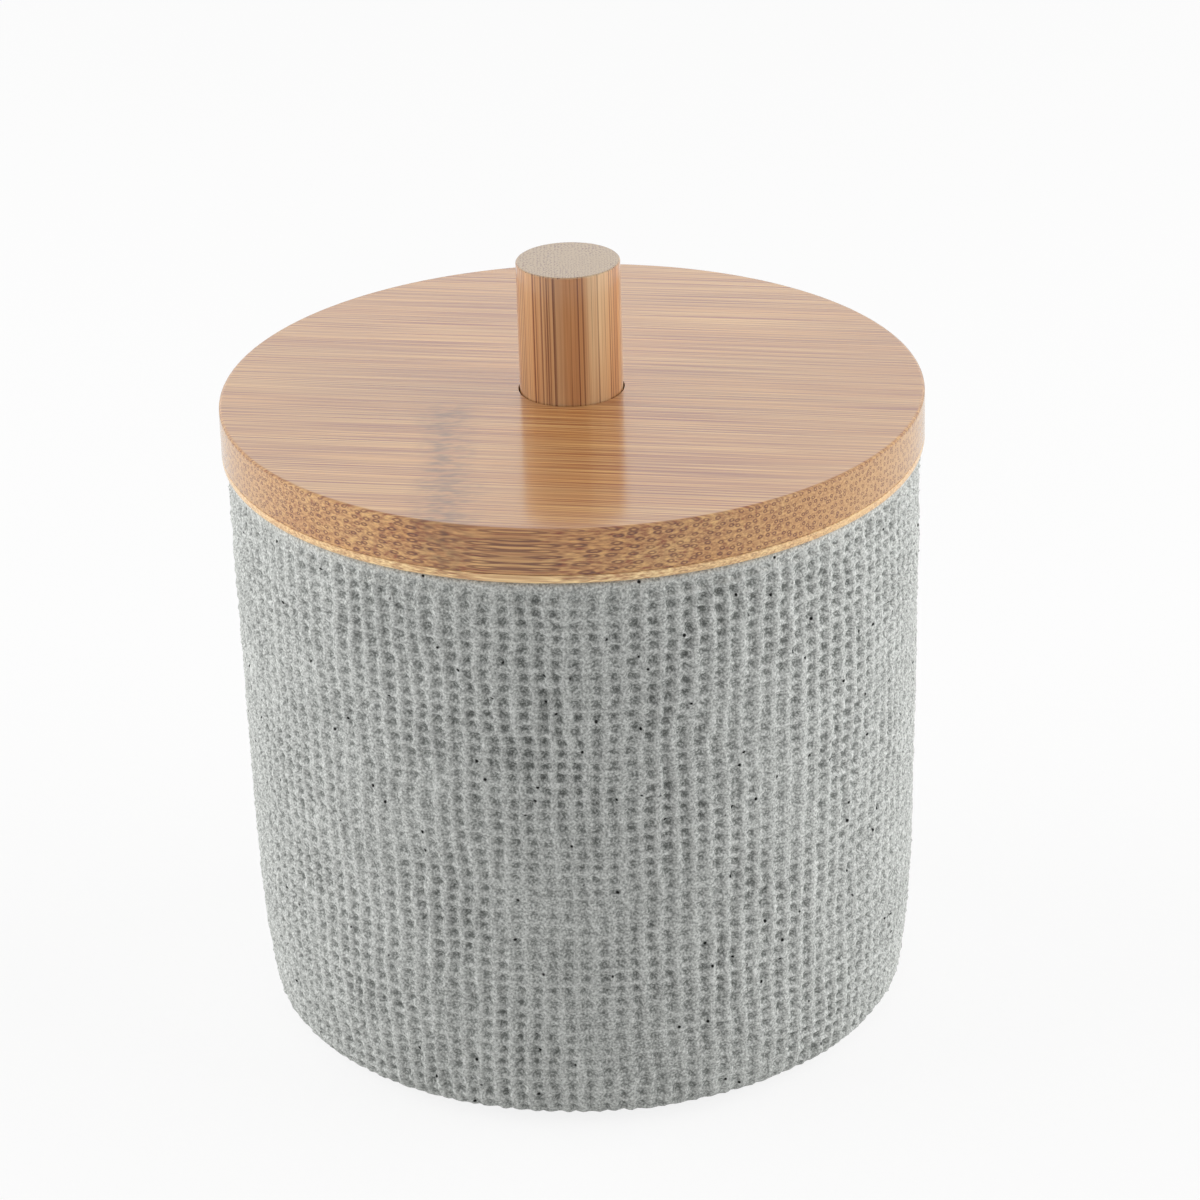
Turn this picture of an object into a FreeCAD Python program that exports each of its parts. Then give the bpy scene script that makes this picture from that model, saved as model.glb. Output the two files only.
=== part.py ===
import FreeCAD, Part
import math
import os
from dataclasses import dataclass

import Sketcher

# A cotton pad holder: a cast jar on four stuck-on feet, and a two-ply bamboo lid that lifts off by its knob.
# Millimetres and degrees, +Z up. The origin is the middle of the base, on the surface that the feet stand on.
# Every round piece is turned from an outline whose corners are a radius and a height, both worked out from
# the sheet of driving dimensions.

SIZES = [
    # Jar
    ("rim_diameter", 100.4, "outside of the jar at its rim, without the relief of its wall"),
    ("jar_height", 86.2, "from the underside of the jar to its rim"),
    ("wall_thickness", 5.5, "side wall at the rim"),
    ("floor_thickness", 6.0, "bottom of the jar"),
    ("wall_draft", 0.9, "lean of the side wall that lets the casting leave its mould, in degrees"),
    ("heel_lean", 8.5, "lean of the wall where it meets the heel, in degrees"),
    ("lower_curve", 160.0, "radius of the gentle curve from the straight wall down to the heel"),
    ("heel_rounding", 3.0, "rounding between the wall and the underside"),
    ("rim_rounding", 0.8, "rounding on both edges of the rim"),
    ("floor_fillet", 4.0, "rounding inside, between the wall and the floor"),
    # Feet
    ("foot_diameter", 12.0, "stuck-on foot"),
    ("foot_height", 1.2, "how far the jar stands off the surface"),
    ("foot_inset", 6.0, "from the edge of the underside to the foot"),
    ("foot_rounding", 0.3, "lower edge of the foot"),
    # Lid boards
    ("lid_overhang", 0.8, "how far the lid reaches past the rim"),
    ("top_ply_thickness", 6.8, "upper ply of the lid"),
    ("base_ply_edge", 1.4, "visible edge of the lower ply"),
    ("lid_top_rounding", 0.5, "upper edge of the lid"),
    ("lid_base_rounding", 0.7, "lower edge of the lid"),
    ("plug_gap", 1.8, "between the plug of the lid and the mouth of the jar"),
    ("plug_land", 0.8, "wood above and below the groove of the ring"),
    ("plug_chamfer", 0.5, "lower edge of the plug"),
    ("groove_depth", 1.6, "groove of the ring in the plug"),
    # Ring
    ("ring_height", 3.6, "height of the silicone ring"),
    ("ring_side_gap", 0.1, "between the ring and each side of its groove"),
    ("ring_seat_gap", 0.05, "between the ring and the bottom of its groove"),
    ("ring_band", 1.3, "thickness of the band that carries the lips"),
    ("ring_mouth_gap", 0.2, "between the lips and the mouth of the jar"),
    ("lip_root", 0.9, "thickness of a lip where it leaves the band"),
    ("lip_tip", 0.5, "thickness of a lip where its rounded end begins"),
    ("lip_end", 0.2, "length of the rounded end of a lip"),
    # Knob
    ("knob_diameter", 15.0, "dowel of the knob"),
    ("knob_height", 19.5, "how far the knob stands above the lid"),
    ("knob_edge", 0.25, "eased edges of the knob"),
    ("socket_depth", 3.0, "how deep the knob sits in the lid"),
    ("socket_gap", 0.2, "around the knob in its socket"),
    # Screw
    ("screw_length", 20.0, "countersunk screw from its face to its tip"),
    ("screw_diameter", 4.0, "plain shank, and crests of the thread"),
    ("screw_root", 2.8, "roots of the thread, and the pilot hole"),
    ("screw_head", 7.4, "head diameter"),
    ("screw_head_edge", 0.3, "straight edge of the head"),
    ("screw_sink", 0.3, "how far the head lies below the face of the plug"),
    ("screw_gap", 0.25, "around the shank in the boards"),
    ("screw_seat_gap", 0.05, "between the head and its countersink"),
    ("screw_pitch", 1.8, "thread"),
    ("screw_tip", 2.4, "length of the point"),
    ("pilot_spare", 1.0, "pilot hole past the point"),
    ("recess_span", 4.4, "driver's cross from end to end"),
    ("recess_width", 1.0, "slot of the driver's cross"),
    ("recess_depth", 1.6, "depth of the driver's cross"),
]
LIP_COUNT = 3
FEET = ["foot_rear_right", "foot_rear_left", "foot_front_left", "foot_front_right"]

# Levels, from the surface up
BASE = "Dimensions.foot_height"
FLOOR = f"({BASE} + Dimensions.floor_thickness)"
RIM = f"({BASE} + Dimensions.jar_height)"
GROOVE_TOP = f"({RIM} - Dimensions.plug_land)"
RING_TOP = f"({GROOVE_TOP} - Dimensions.ring_side_gap)"
RING_LOW = f"({RING_TOP} - Dimensions.ring_height)"
GROOVE_LOW = f"({RING_LOW} - Dimensions.ring_side_gap)"
PLUG_FACE = f"({GROOVE_LOW} - Dimensions.plug_land)"
PLY_JOINT = f"({RIM} + Dimensions.base_ply_edge)"
LID_TOP = f"({PLY_JOINT} + Dimensions.top_ply_thickness)"
SOCKET = f"({LID_TOP} - Dimensions.socket_depth)"
KNOB_TOP = f"({LID_TOP} + Dimensions.knob_height)"
SCREW_FACE = f"({PLUG_FACE} + Dimensions.screw_sink)"
SCREW_END = f"({SCREW_FACE} + Dimensions.screw_length)"
THREAD_END = f"({SCREW_END} - Dimensions.screw_tip)"
THREAD_START = f"({SOCKET} - Dimensions.screw_pitch / 2)"

# Radii, from the wall of the jar inwards and from the screw outwards
RIM_RADIUS = "(Dimensions.rim_diameter / 2)"
MOUTH_RADIUS = f"({RIM_RADIUS} - Dimensions.wall_thickness)"
LID_RADIUS = f"({RIM_RADIUS} + Dimensions.lid_overhang)"
PLUG_RADIUS = f"({MOUTH_RADIUS} - Dimensions.plug_gap)"
GROOVE_RADIUS = f"({PLUG_RADIUS} - Dimensions.groove_depth)"
RING_INSIDE = f"({GROOVE_RADIUS} + Dimensions.ring_seat_gap)"
RING_BAND = f"({RING_INSIDE} + Dimensions.ring_band)"
LIP_REACH = f"({MOUTH_RADIUS} - Dimensions.ring_mouth_gap)"
LIP_SHOULDER = f"({LIP_REACH} - Dimensions.lip_end)"
KNOB_RADIUS = "(Dimensions.knob_diameter / 2)"
SOCKET_RADIUS = f"({KNOB_RADIUS} + Dimensions.socket_gap)"
SHANK_RADIUS = "(Dimensions.screw_diameter / 2)"
SHANK_HOLE = f"({SHANK_RADIUS} + Dimensions.screw_gap)"
ROOT_RADIUS = "(Dimensions.screw_root / 2)"
HEAD_RADIUS = "(Dimensions.screw_head / 2)"
SINK_RADIUS = (
    f"({HEAD_RADIUS} + Dimensions.screw_sink + Dimensions.screw_head_edge + Dimensions.screw_seat_gap)"
)

# The side of the jar: a drafted wall, a wide curve tangent to it, and a heel tangent to both curve and base
HEEL_TOP = f"({BASE} + Dimensions.heel_rounding * (1 - sin(Dimensions.heel_lean)))"
CURVE_TOP = f"({HEEL_TOP} + Dimensions.lower_curve * (sin(Dimensions.heel_lean) - sin(Dimensions.wall_draft)))"
CURVE_RADIUS = f"({RIM_RADIUS} - tan(Dimensions.wall_draft) * ({RIM} - {CURVE_TOP}))"
HEEL_RADIUS = (
    f"({CURVE_RADIUS} - Dimensions.lower_curve * (cos(Dimensions.wall_draft) - cos(Dimensions.heel_lean)))"
)
UNDERSIDE_RADIUS = f"({HEEL_RADIUS} - Dimensions.heel_rounding * cos(Dimensions.heel_lean))"
FOOT_CIRCLE = f"({UNDERSIDE_RADIUS} - Dimensions.foot_inset - Dimensions.foot_diameter / 2)"

AXIS = "0"
LEFT = 1
RIGHT = -1


@dataclass
class Corner:
    """A corner of an outline, with the arc, if any, that leads on from it to the next corner."""

    radius: str
    height: str
    arc: str = ""
    turn: int = LEFT


def make_sheet(doc):
    """The sheet of driving dimensions, with the meaning of each one beside its number."""
    sheet = doc.addObject("Spreadsheet::Sheet", "Dimensions")
    for row, (alias, value, meaning) in enumerate(SIZES, start=1):
        sheet.set(f"A{row}", meaning)
        sheet.set(f"B{row}", str(value))
        sheet.setAlias(f"B{row}", alias)
    doc.recompute()
    return sheet


def origin_plane(body, role):
    """One of the body's own origin planes."""
    return next(plane for plane in body.Origin.OriginFeatures if plane.Role == role)


def corner_point(sheet, corner):
    """Where a corner lies in its sketch."""
    radius = float(sheet.evalExpression(corner.radius))
    height = float(sheet.evalExpression(corner.height))
    return FreeCAD.Vector(radius, height, 0)


def arc_between(start, end, radius, turn):
    """The shorter arc from start to end that turns left or right, drawn anticlockwise."""
    chord = end - start
    to_centre = FreeCAD.Vector(-chord.y, chord.x, 0).normalize() * turn
    centre_depth = math.sqrt(radius ** 2 - (chord.Length / 2) ** 2)
    centre = (start + end) * 0.5 + to_centre * centre_depth
    from_centre = [start - centre, end - centre]
    angles = [math.atan2(arm.y, arm.x) for arm in from_centre]
    circle = Part.Circle(centre, FreeCAD.Vector(0, 0, 1), radius)
    return Part.ArcOfCircle(circle, *angles[::turn])


def draw_outline(body, sheet, corners):
    """A closed sketch on the body's XZ plane with each corner and arc bound to the sheet."""
    sketch = body.newObject("Sketcher::SketchObject", f"{body.Name}_outline")
    sketch.AttachmentSupport = [(origin_plane(body, "XZ_Plane"), "")]
    sketch.MapMode = "FlatFace"
    horizontal, vertical, start_point, end_point = -1, -2, 1, 2
    points = [corner_point(sheet, corner) for corner in corners]

    def bind(constraint, expression):
        index = sketch.addConstraint(constraint)
        sketch.setExpression(f"Constraints[{index}]", expression)

    stretches = []
    for corner, start, end in zip(corners, points, points[1:] + points[:1]):
        if corner.arc:
            radius = float(sheet.evalExpression(corner.arc))
            curve = sketch.addGeometry(arc_between(start, end, radius, corner.turn))
            stretches.append((curve, *[start_point, end_point][::corner.turn]))
        else:
            line = sketch.addGeometry(Part.LineSegment(start, end))
            stretches.append((line, start_point, end_point))

    for (before, _, leaving), (after, entering, _) in zip(stretches[-1:] + stretches[:-1], stretches):
        sketch.addConstraint(Sketcher.Constraint("Coincident", before, leaving, after, entering))
    for corner, point, (edge, entering, _) in zip(corners, points, stretches):
        if corner.radius == AXIS:
            sketch.addConstraint(Sketcher.Constraint("PointOnObject", edge, entering, vertical))
        else:
            across = Sketcher.Constraint("DistanceX", horizontal, start_point, edge, entering, point.x)
            bind(across, corner.radius)
        if corner.height == AXIS:
            sketch.addConstraint(Sketcher.Constraint("PointOnObject", edge, entering, horizontal))
        else:
            up = Sketcher.Constraint("DistanceY", horizontal, start_point, edge, entering, point.y)
            bind(up, corner.height)
        if corner.arc:
            radius = float(sheet.evalExpression(corner.arc))
            bind(Sketcher.Constraint("Radius", edge, radius), corner.arc)
    return sketch


def turn_piece(doc, sheet, name, corners):
    """A body turned about the Z axis from a closed outline."""
    body = doc.addObject("PartDesign::Body", name)
    sketch = draw_outline(body, sheet, corners)
    turning = body.newObject("PartDesign::Revolution", f"{name}_turning")
    turning.Profile = sketch
    turning.ReferenceAxis = (sketch, ["V_Axis"])
    turning.Angle = 360
    return body


def make_jar(doc, sheet):
    """The cast jar, with a drafted wall, a softened heel and a flat rim that the lid rests on."""
    def wall_inset(below_rim):
        return f"tan(Dimensions.wall_draft) * ({below_rim})"

    edge = "Dimensions.rim_rounding"
    fillet_top = f"({FLOOR} + Dimensions.floor_fillet)"
    fillet_radius = f"({MOUTH_RADIUS} - {wall_inset(f'{RIM} - {fillet_top}')})"
    corners = [
        Corner(AXIS, BASE),
        Corner(UNDERSIDE_RADIUS, BASE, arc="Dimensions.heel_rounding"),
        Corner(HEEL_RADIUS, HEEL_TOP, arc="Dimensions.lower_curve"),
        Corner(CURVE_RADIUS, CURVE_TOP),
        Corner(f"{RIM_RADIUS} - {wall_inset(edge)}", f"{RIM} - {edge}", arc=edge),
        Corner(f"{RIM_RADIUS} - {edge}", RIM),
        Corner(f"{MOUTH_RADIUS} + {edge}", RIM, arc=edge),
        Corner(f"{MOUTH_RADIUS} - {wall_inset(edge)}", f"{RIM} - {edge}"),
        Corner(fillet_radius, fillet_top, arc="Dimensions.floor_fillet", turn=RIGHT),
        Corner(f"{fillet_radius} - Dimensions.floor_fillet", FLOOR),
        Corner(AXIS, FLOOR),
    ]
    return turn_piece(doc, sheet, "jar_body", corners)


def make_foot(doc, sheet, name):
    """A round foot under the jar. The feet share the circle evenly, each in the middle of its own share."""
    angle = 360 / len(FEET) * (FEET.index(name) + 0.5)
    radius = "(Dimensions.foot_diameter / 2)"
    edge = "Dimensions.foot_rounding"
    corners = [
        Corner(AXIS, AXIS),
        Corner(f"{radius} - {edge}", AXIS, arc=edge),
        Corner(radius, edge),
        Corner(radius, BASE),
        Corner(AXIS, BASE),
    ]
    foot = turn_piece(doc, sheet, name, corners)
    foot.setExpression("Placement.Base.x", f"{FOOT_CIRCLE} * cos({angle})")
    foot.setExpression("Placement.Base.y", f"{FOOT_CIRCLE} * sin({angle})")
    return foot


def make_base_ply(doc, sheet):
    """The lower ply: a thin rim that rests on the jar, and a grooved plug that drops into its mouth."""
    edge = "Dimensions.lid_base_rounding"
    chamfer = "Dimensions.plug_chamfer"
    corners = [
        Corner(SINK_RADIUS, PLUG_FACE),
        Corner(f"{PLUG_RADIUS} - {chamfer}", PLUG_FACE),
        Corner(PLUG_RADIUS, f"{PLUG_FACE} + {chamfer}"),
        Corner(PLUG_RADIUS, GROOVE_LOW),
        Corner(GROOVE_RADIUS, GROOVE_LOW),
        Corner(GROOVE_RADIUS, GROOVE_TOP),
        Corner(PLUG_RADIUS, GROOVE_TOP),
        Corner(PLUG_RADIUS, RIM),
        Corner(f"{LID_RADIUS} - {edge}", RIM, arc=edge),
        Corner(LID_RADIUS, f"{RIM} + {edge}"),
        Corner(LID_RADIUS, PLY_JOINT),
        Corner(SHANK_HOLE, PLY_JOINT),
        Corner(SHANK_HOLE, f"{PLUG_FACE} + {SINK_RADIUS} - {SHANK_HOLE}"),
    ]
    return turn_piece(doc, sheet, "lid_base_ply", corners)


def make_top_ply(doc, sheet):
    """The upper ply, with the socket of the knob in its top."""
    edge = "Dimensions.lid_top_rounding"
    corners = [
        Corner(SHANK_HOLE, PLY_JOINT),
        Corner(LID_RADIUS, PLY_JOINT),
        Corner(LID_RADIUS, f"{LID_TOP} - {edge}", arc=edge),
        Corner(f"{LID_RADIUS} - {edge}", LID_TOP),
        Corner(SOCKET_RADIUS, LID_TOP),
        Corner(SOCKET_RADIUS, SOCKET),
        Corner(SHANK_HOLE, SOCKET),
    ]
    return turn_piece(doc, sheet, "lid_top_ply", corners)


def make_knob(doc, sheet):
    """A length of dowel with a pilot hole in its lower end."""
    edge = "Dimensions.knob_edge"
    pilot_top = f"{SCREW_END} + Dimensions.pilot_spare"
    corners = [
        Corner(ROOT_RADIUS, SOCKET),
        Corner(f"{KNOB_RADIUS} - {edge}", SOCKET),
        Corner(KNOB_RADIUS, f"{SOCKET} + {edge}"),
        Corner(KNOB_RADIUS, f"{KNOB_TOP} - {edge}"),
        Corner(f"{KNOB_RADIUS} - {edge}", KNOB_TOP),
        Corner(AXIS, KNOB_TOP),
        Corner(AXIS, pilot_top),
        Corner(ROOT_RADIUS, pilot_top),
    ]
    return turn_piece(doc, sheet, "knob", corners)


def make_ring(doc, sheet):
    """The silicone ring: a band in the groove of the plug, with lips that wipe the mouth of the jar."""
    shoulder = "(Dimensions.lip_tip / 2)"
    root = "(Dimensions.lip_root / 2)"
    end_radius = f"({shoulder}^2 + Dimensions.lip_end^2) / (2 * Dimensions.lip_end)"
    corners = [Corner(RING_INSIDE, RING_LOW), Corner(RING_BAND, RING_LOW)]
    for lip in range(LIP_COUNT):
        middle = f"{RING_LOW} + Dimensions.ring_height * {(lip + 0.5) / LIP_COUNT}"
        corners += [
            Corner(RING_BAND, f"{middle} - {root}"),
            Corner(LIP_SHOULDER, f"{middle} - {shoulder}", arc=end_radius),
            Corner(LIP_SHOULDER, f"{middle} + {shoulder}"),
            Corner(RING_BAND, f"{middle} + {root}"),
        ]
    corners += [Corner(RING_BAND, RING_TOP), Corner(RING_INSIDE, RING_TOP)]
    return turn_piece(doc, sheet, "seal_ring", corners)


def cut_slot(body, name, length, width):
    """A slot of the driver's cross, centred on the axis and open at the face of the head."""
    slot = body.newObject("PartDesign::SubtractiveBox", name)
    slot.AttachmentSupport = [(origin_plane(body, "XY_Plane"), "")]
    slot.MapMode = "FlatFace"
    slot.setExpression("Length", length)
    slot.setExpression("Width", width)
    slot.setExpression("Height", "Dimensions.recess_depth")
    slot.setExpression("AttachmentOffset.Base.x", f"-{length} / 2")
    slot.setExpression("AttachmentOffset.Base.y", f"-{width} / 2")
    slot.setExpression("AttachmentOffset.Base.z", SCREW_FACE)


def make_screw(doc, sheet):
    """The countersunk screw that draws the knob down from under the lid. Its thread is a row of ridges."""
    head_edge = f"{SCREW_FACE} + Dimensions.screw_head_edge"
    thread_length = float(sheet.evalExpression(f"{THREAD_END} - {THREAD_START}"))
    turns = int(thread_length / sheet.get("screw_pitch"))
    corners = [
        Corner(AXIS, SCREW_FACE),
        Corner(HEAD_RADIUS, SCREW_FACE),
        Corner(HEAD_RADIUS, head_edge),
        Corner(SHANK_RADIUS, f"{head_edge} + {HEAD_RADIUS} - {SHANK_RADIUS}"),
        Corner(SHANK_RADIUS, f"{THREAD_START} - Dimensions.screw_pitch / 2"),
        Corner(ROOT_RADIUS, THREAD_START),
    ]
    for ridge in range(turns):
        corners += [
            Corner(SHANK_RADIUS, f"{THREAD_START} + Dimensions.screw_pitch * {ridge + 0.5}"),
            Corner(ROOT_RADIUS, f"{THREAD_START} + Dimensions.screw_pitch * {ridge + 1}"),
        ]
    corners += [Corner(ROOT_RADIUS, THREAD_END), Corner(AXIS, SCREW_END)]
    body = turn_piece(doc, sheet, "knob_screw", corners)
    doc.recompute()
    whole_volume = body.Shape.Volume
    cut_slot(body, "slot_across", "Dimensions.recess_span", "Dimensions.recess_width")
    cut_slot(body, "slot_along", "Dimensions.recess_width", "Dimensions.recess_span")
    doc.recompute()
    if body.Shape.Volume >= whole_volume:
        raise RuntimeError("the driver's cross cuts nothing out of the screw")
    return body


def check_document(doc, pieces):
    """Stop if any object failed to compute or any piece is not one valid solid."""
    failed = [item.Name for item in doc.Objects if {"Invalid", "Error"} & set(item.State)]
    if failed:
        raise RuntimeError(f"not computed: {failed}")
    for piece in pieces:
        shape = piece.Shape
        if shape.isNull() or not shape.isValid() or len(shape.Solids) != 1:
            raise RuntimeError(f"{piece.Label} is not one valid solid")


def main():
    """Build every piece and write each one to its own file."""
    doc = FreeCAD.newDocument("cotton_pad_holder")
    sheet = make_sheet(doc)
    pieces = [make_jar(doc, sheet)]
    pieces += [make_foot(doc, sheet, name) for name in FEET]
    pieces += [
        make_base_ply(doc, sheet),
        make_top_ply(doc, sheet),
        make_ring(doc, sheet),
        make_knob(doc, sheet),
        make_screw(doc, sheet),
    ]
    doc.recompute()
    check_document(doc, pieces)
    os.makedirs("parts", exist_ok=True)
    for piece in pieces:
        piece.Shape.exportStep(os.path.join("parts", f"{piece.Label}.step"))
        box = piece.Shape.BoundBox
        print(f"{piece.Label}: {piece.Shape.Volume:.1f} mm3, z {box.ZMin:.2f} to {box.ZMax:.2f}")


main()
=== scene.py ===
"""Looks of the cotton pad holder: a cast jar with the relief of sack cloth, and a lacquered bamboo lid.

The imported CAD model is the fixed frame. The jar, the two boards of the lid and the knob are modelled here
again with the detail of the real ones. The ring, the screw and the feet keep their CAD shapes.
Blender's lengths are metres, so a size in millimetres is written as a number times MM.
"""

import logging
import math
from collections.abc import Callable, Iterator
from contextlib import contextmanager
from dataclasses import dataclass, field
from enum import Enum
from typing import Any

import bmesh
import bpy
import numpy as np
from mathutils import Euler, Matrix, Vector


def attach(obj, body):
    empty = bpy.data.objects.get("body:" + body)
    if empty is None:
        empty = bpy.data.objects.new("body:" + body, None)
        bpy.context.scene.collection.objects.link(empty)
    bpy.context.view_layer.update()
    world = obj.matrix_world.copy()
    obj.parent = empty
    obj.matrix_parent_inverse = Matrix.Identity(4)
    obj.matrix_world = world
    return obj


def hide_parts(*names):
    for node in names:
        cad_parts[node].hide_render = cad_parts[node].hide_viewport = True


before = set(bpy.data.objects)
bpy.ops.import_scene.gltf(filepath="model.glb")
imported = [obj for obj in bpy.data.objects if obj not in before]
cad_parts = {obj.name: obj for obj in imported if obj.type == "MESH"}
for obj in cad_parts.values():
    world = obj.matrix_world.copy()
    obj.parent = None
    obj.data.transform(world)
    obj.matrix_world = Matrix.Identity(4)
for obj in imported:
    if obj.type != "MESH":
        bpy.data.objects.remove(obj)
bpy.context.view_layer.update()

MM = 0.001
# Name of the map through which a piece's patterns are baked, where a piece has one.
MAP_NAME = "OFBake"
# What the jar's mesh tells its material: the map of the threads, their height and how clearly they show
WEAVE, RELIEF, IMPRINT = "weave", "relief", "imprint"
# Height of plain stone on the cloth's scale, where a hole is 0 and a thread 1
PLAIN = 0.8
# Nearly all of a noise texture lies between the first two values, and of a coarse one between the others.
NOISE_LOW, NOISE_HIGH = 0.3, 0.7
COARSE_LOW, COARSE_HIGH = 0.35, 0.65
# Sockets of the Mix node for colours, which share their names with its other kinds
FACTOR, COLOUR_A, COLOUR_B, MIXED = 0, 6, 7, 2
# The grain of the lid's boards is turned by this much from the frame's X axis.
GRAIN_TURN = math.radians(9.5)
# A face whose normal is more upright than this is a level one.
LEVEL = 0.9

log = logging.getLogger("cotton_pad_holder")

Socket = bpy.types.NodeSocket
Colour = tuple[float, float, float, float]


def linear(code: str) -> Colour:
    """Turns an sRGB hex value into the linear colour that Blender's sockets take.

    Args:
        code: A hash and six hex digits.

    Returns:
        Red, green and blue from 0 to 1, and an alpha of 1.
    """
    shares = [int(code[start:start + 2], 16) / 255 for start in (1, 3, 5)]
    red, green, blue = [s / 12.92 if s <= 0.04045 else ((s + 0.055) / 1.055) ** 2.4 for s in shares]
    return red, green, blue, 1.0


def add_node(
    tree: bpy.types.NodeTree, kind: str, inputs: dict[str | int, Any] | None = None, **settings: Any
) -> bpy.types.Node:
    """Adds a node with its settings, and links or fills its inputs.

    Args:
        tree: The node tree that gets the node.
        kind: The node's type name.
        inputs: For each input, by name or number, the socket to link or the value to set.
        **settings: The node's own properties.

    Returns:
        The new node.
    """
    node = tree.nodes.new(kind)
    for name, value in settings.items():
        setattr(node, name, value)
    for key, value in (inputs or {}).items():
        if isinstance(value, Socket):
            tree.links.new(value, node.inputs[key])
        else:
            node.inputs[key].default_value = value
    return node


def start_material(name: str) -> tuple[bpy.types.Material, bpy.types.NodeTree]:
    """Makes a material with an empty node tree.

    Args:
        name: The real substance that the material shows.

    Returns:
        The material and its node tree.
    """
    material = bpy.data.materials.new(name)
    material.use_nodes = True
    material.node_tree.nodes.clear()
    return material, material.node_tree


def dress(piece: bpy.types.Object, material: bpy.types.Material) -> None:
    """Gives a piece one material in place of any that it has."""
    piece.data.materials.clear()
    piece.data.materials.append(material)


def deselect_all() -> None:
    """Leaves nothing selected, since loading the frame leaves its nodes selected."""
    for item in bpy.context.selected_objects:
        item.select_set(False)


@contextmanager
def edit_mode(piece: bpy.types.Object) -> Iterator[None]:
    """Opens a piece in edit mode for the operators inside the block.

    Args:
        piece: The piece that the operators act on.

    Yields:
        Nothing, once the piece is open.
    """
    deselect_all()
    piece.select_set(True)
    bpy.context.view_layer.objects.active = piece
    bpy.ops.object.mode_set(mode="EDIT")
    yield
    bpy.ops.object.mode_set(mode="OBJECT")


def pick_faces(piece: bpy.types.Object, wanted: Callable[[bmesh.types.BMFace], bool]) -> None:
    """Selects the faces of a piece in edit mode that pass a test of place or normal.

    Args:
        piece: The piece that is open in edit mode.
        wanted: Says of a face whether it is selected.
    """
    bpy.ops.mesh.select_mode(type="FACE")
    bpy.ops.mesh.select_all(action="DESELECT")
    shape = bmesh.from_edit_mesh(piece.data)
    for face in shape.faces:
        face.select = wanted(face)
    shape.select_flush_mode()
    bmesh.update_edit_mesh(piece.data)


def pick_edges(piece: bpy.types.Object, wanted: Callable[[bmesh.types.BMEdge], bool]) -> None:
    """Selects the edges of a piece in edit mode that pass a test of place.

    Args:
        piece: The piece that is open in edit mode.
        wanted: Says of an edge whether it is selected.
    """
    bpy.ops.mesh.select_mode(type="EDGE")
    bpy.ops.mesh.select_all(action="DESELECT")
    shape = bmesh.from_edit_mesh(piece.data)
    for edge in shape.edges:
        edge.select = wanted(edge)
    shape.select_flush_mode()
    bmesh.update_edit_mesh(piece.data)


def ring_at(radius: float, height: float) -> Callable[[bmesh.types.BMEdge], bool]:
    """Makes a test for the edges of a round that lie on a circle about the axis.

    Args:
        radius: Radius of the circle.
        height: Height of the circle.

    Returns:
        The test, which an edge passes when both its ends lie on the circle.
    """
    slack = 0.02 * MM

    def lies_there(edge: bmesh.types.BMEdge) -> bool:
        """Whether both ends of the edge lie on the circle."""
        return all(
            abs(end.co.xy.length - radius) < slack and abs(end.co.z - height) < slack for end in edge.verts
        )

    return lies_there


def spin_outline(name: str, outline: list[tuple[float, float]], columns: int) -> bpy.types.Object:
    """Draws half an outline point by point and spins it about the axis into a closed piece.

    Args:
        name: Name of the piece.
        outline: Radius and height of each point. The ends lie on the axis, or the last point is the first.
        columns: Faces around.

    Returns:
        The piece, at the origin.
    """
    deselect_all()
    bpy.ops.mesh.primitive_plane_add(size=MM)
    piece = bpy.context.object
    piece.name = piece.data.name = name
    with edit_mode(piece):
        bpy.ops.mesh.select_mode(type="VERT")
        bpy.ops.mesh.select_all(action="SELECT")
        bpy.ops.mesh.merge(type="CENTER")
        bpy.ops.mesh.select_all(action="SELECT")
        radius, height = outline[0]
        bpy.ops.transform.translate(value=(radius, 0, height))
        for (r_from, z_from), (r_to, z_to) in zip(outline, outline[1:]):
            step = (r_to - r_from, 0, z_to - z_from)
            bpy.ops.mesh.extrude_region_move(TRANSFORM_OT_translate={"value": step})
        bpy.ops.mesh.select_all(action="SELECT")
        bpy.ops.mesh.spin(steps=columns, angle=math.tau, center=(0, 0, 0), axis=(0, 0, 1))
        bpy.ops.mesh.select_all(action="SELECT")
        bpy.ops.mesh.remove_doubles(threshold=0.002 * MM)
        bpy.ops.mesh.normals_make_consistent(inside=False)
    return piece


def turn_arc(
    centre: tuple[float, float], radius: float, first: float, last: float, steps: int
) -> list[tuple[float, float]]:
    """Points of an arc in an outline.

    Args:
        centre: Radius and height of the arc's centre.
        radius: Radius of the arc.
        first: Angle of the first point, in degrees from outwards towards up.
        last: Angle of the last point.
        steps: Straight stretches that stand for the arc.

    Returns:
        Radius and height of each point, both ends included.
    """
    angles = np.radians(np.linspace(first, last, steps + 1))
    return [(centre[0] + radius * math.cos(a), centre[1] + radius * math.sin(a)) for a in angles]


def soft_field(
    rng: np.random.Generator, shape: tuple[int, int], spacing: tuple[float, float]
) -> np.ndarray:
    """Draws a smooth field of random numbers from -1 to 1 that closes on itself sideways.

    Args:
        rng: The seeded source of the numbers.
        shape: Rows and columns of the field.
        spacing: Rows and columns from one random number to the next.

    Returns:
        The field.
    """
    rows, columns = shape
    across = max(1, round(columns / spacing[1]))
    knots = rng.uniform(-1, 1, (math.ceil(rows / spacing[0]) + 2, across))
    row_at = np.arange(rows) / spacing[0]
    column_at = np.arange(columns) * across / columns
    row, column = row_at.astype(int), column_at.astype(int)
    after = (column + 1) % across
    up, along = row_at - row, column_at - column
    up = (up * up * (3 - 2 * up))[:, None]
    along = (along * along * (3 - 2 * along))[None, :]
    low = knots[row][:, column] * (1 - along) + knots[row][:, after] * along
    high = knots[row + 1][:, column] * (1 - along) + knots[row + 1][:, after] * along
    return low * (1 - up) + high * up


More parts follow.
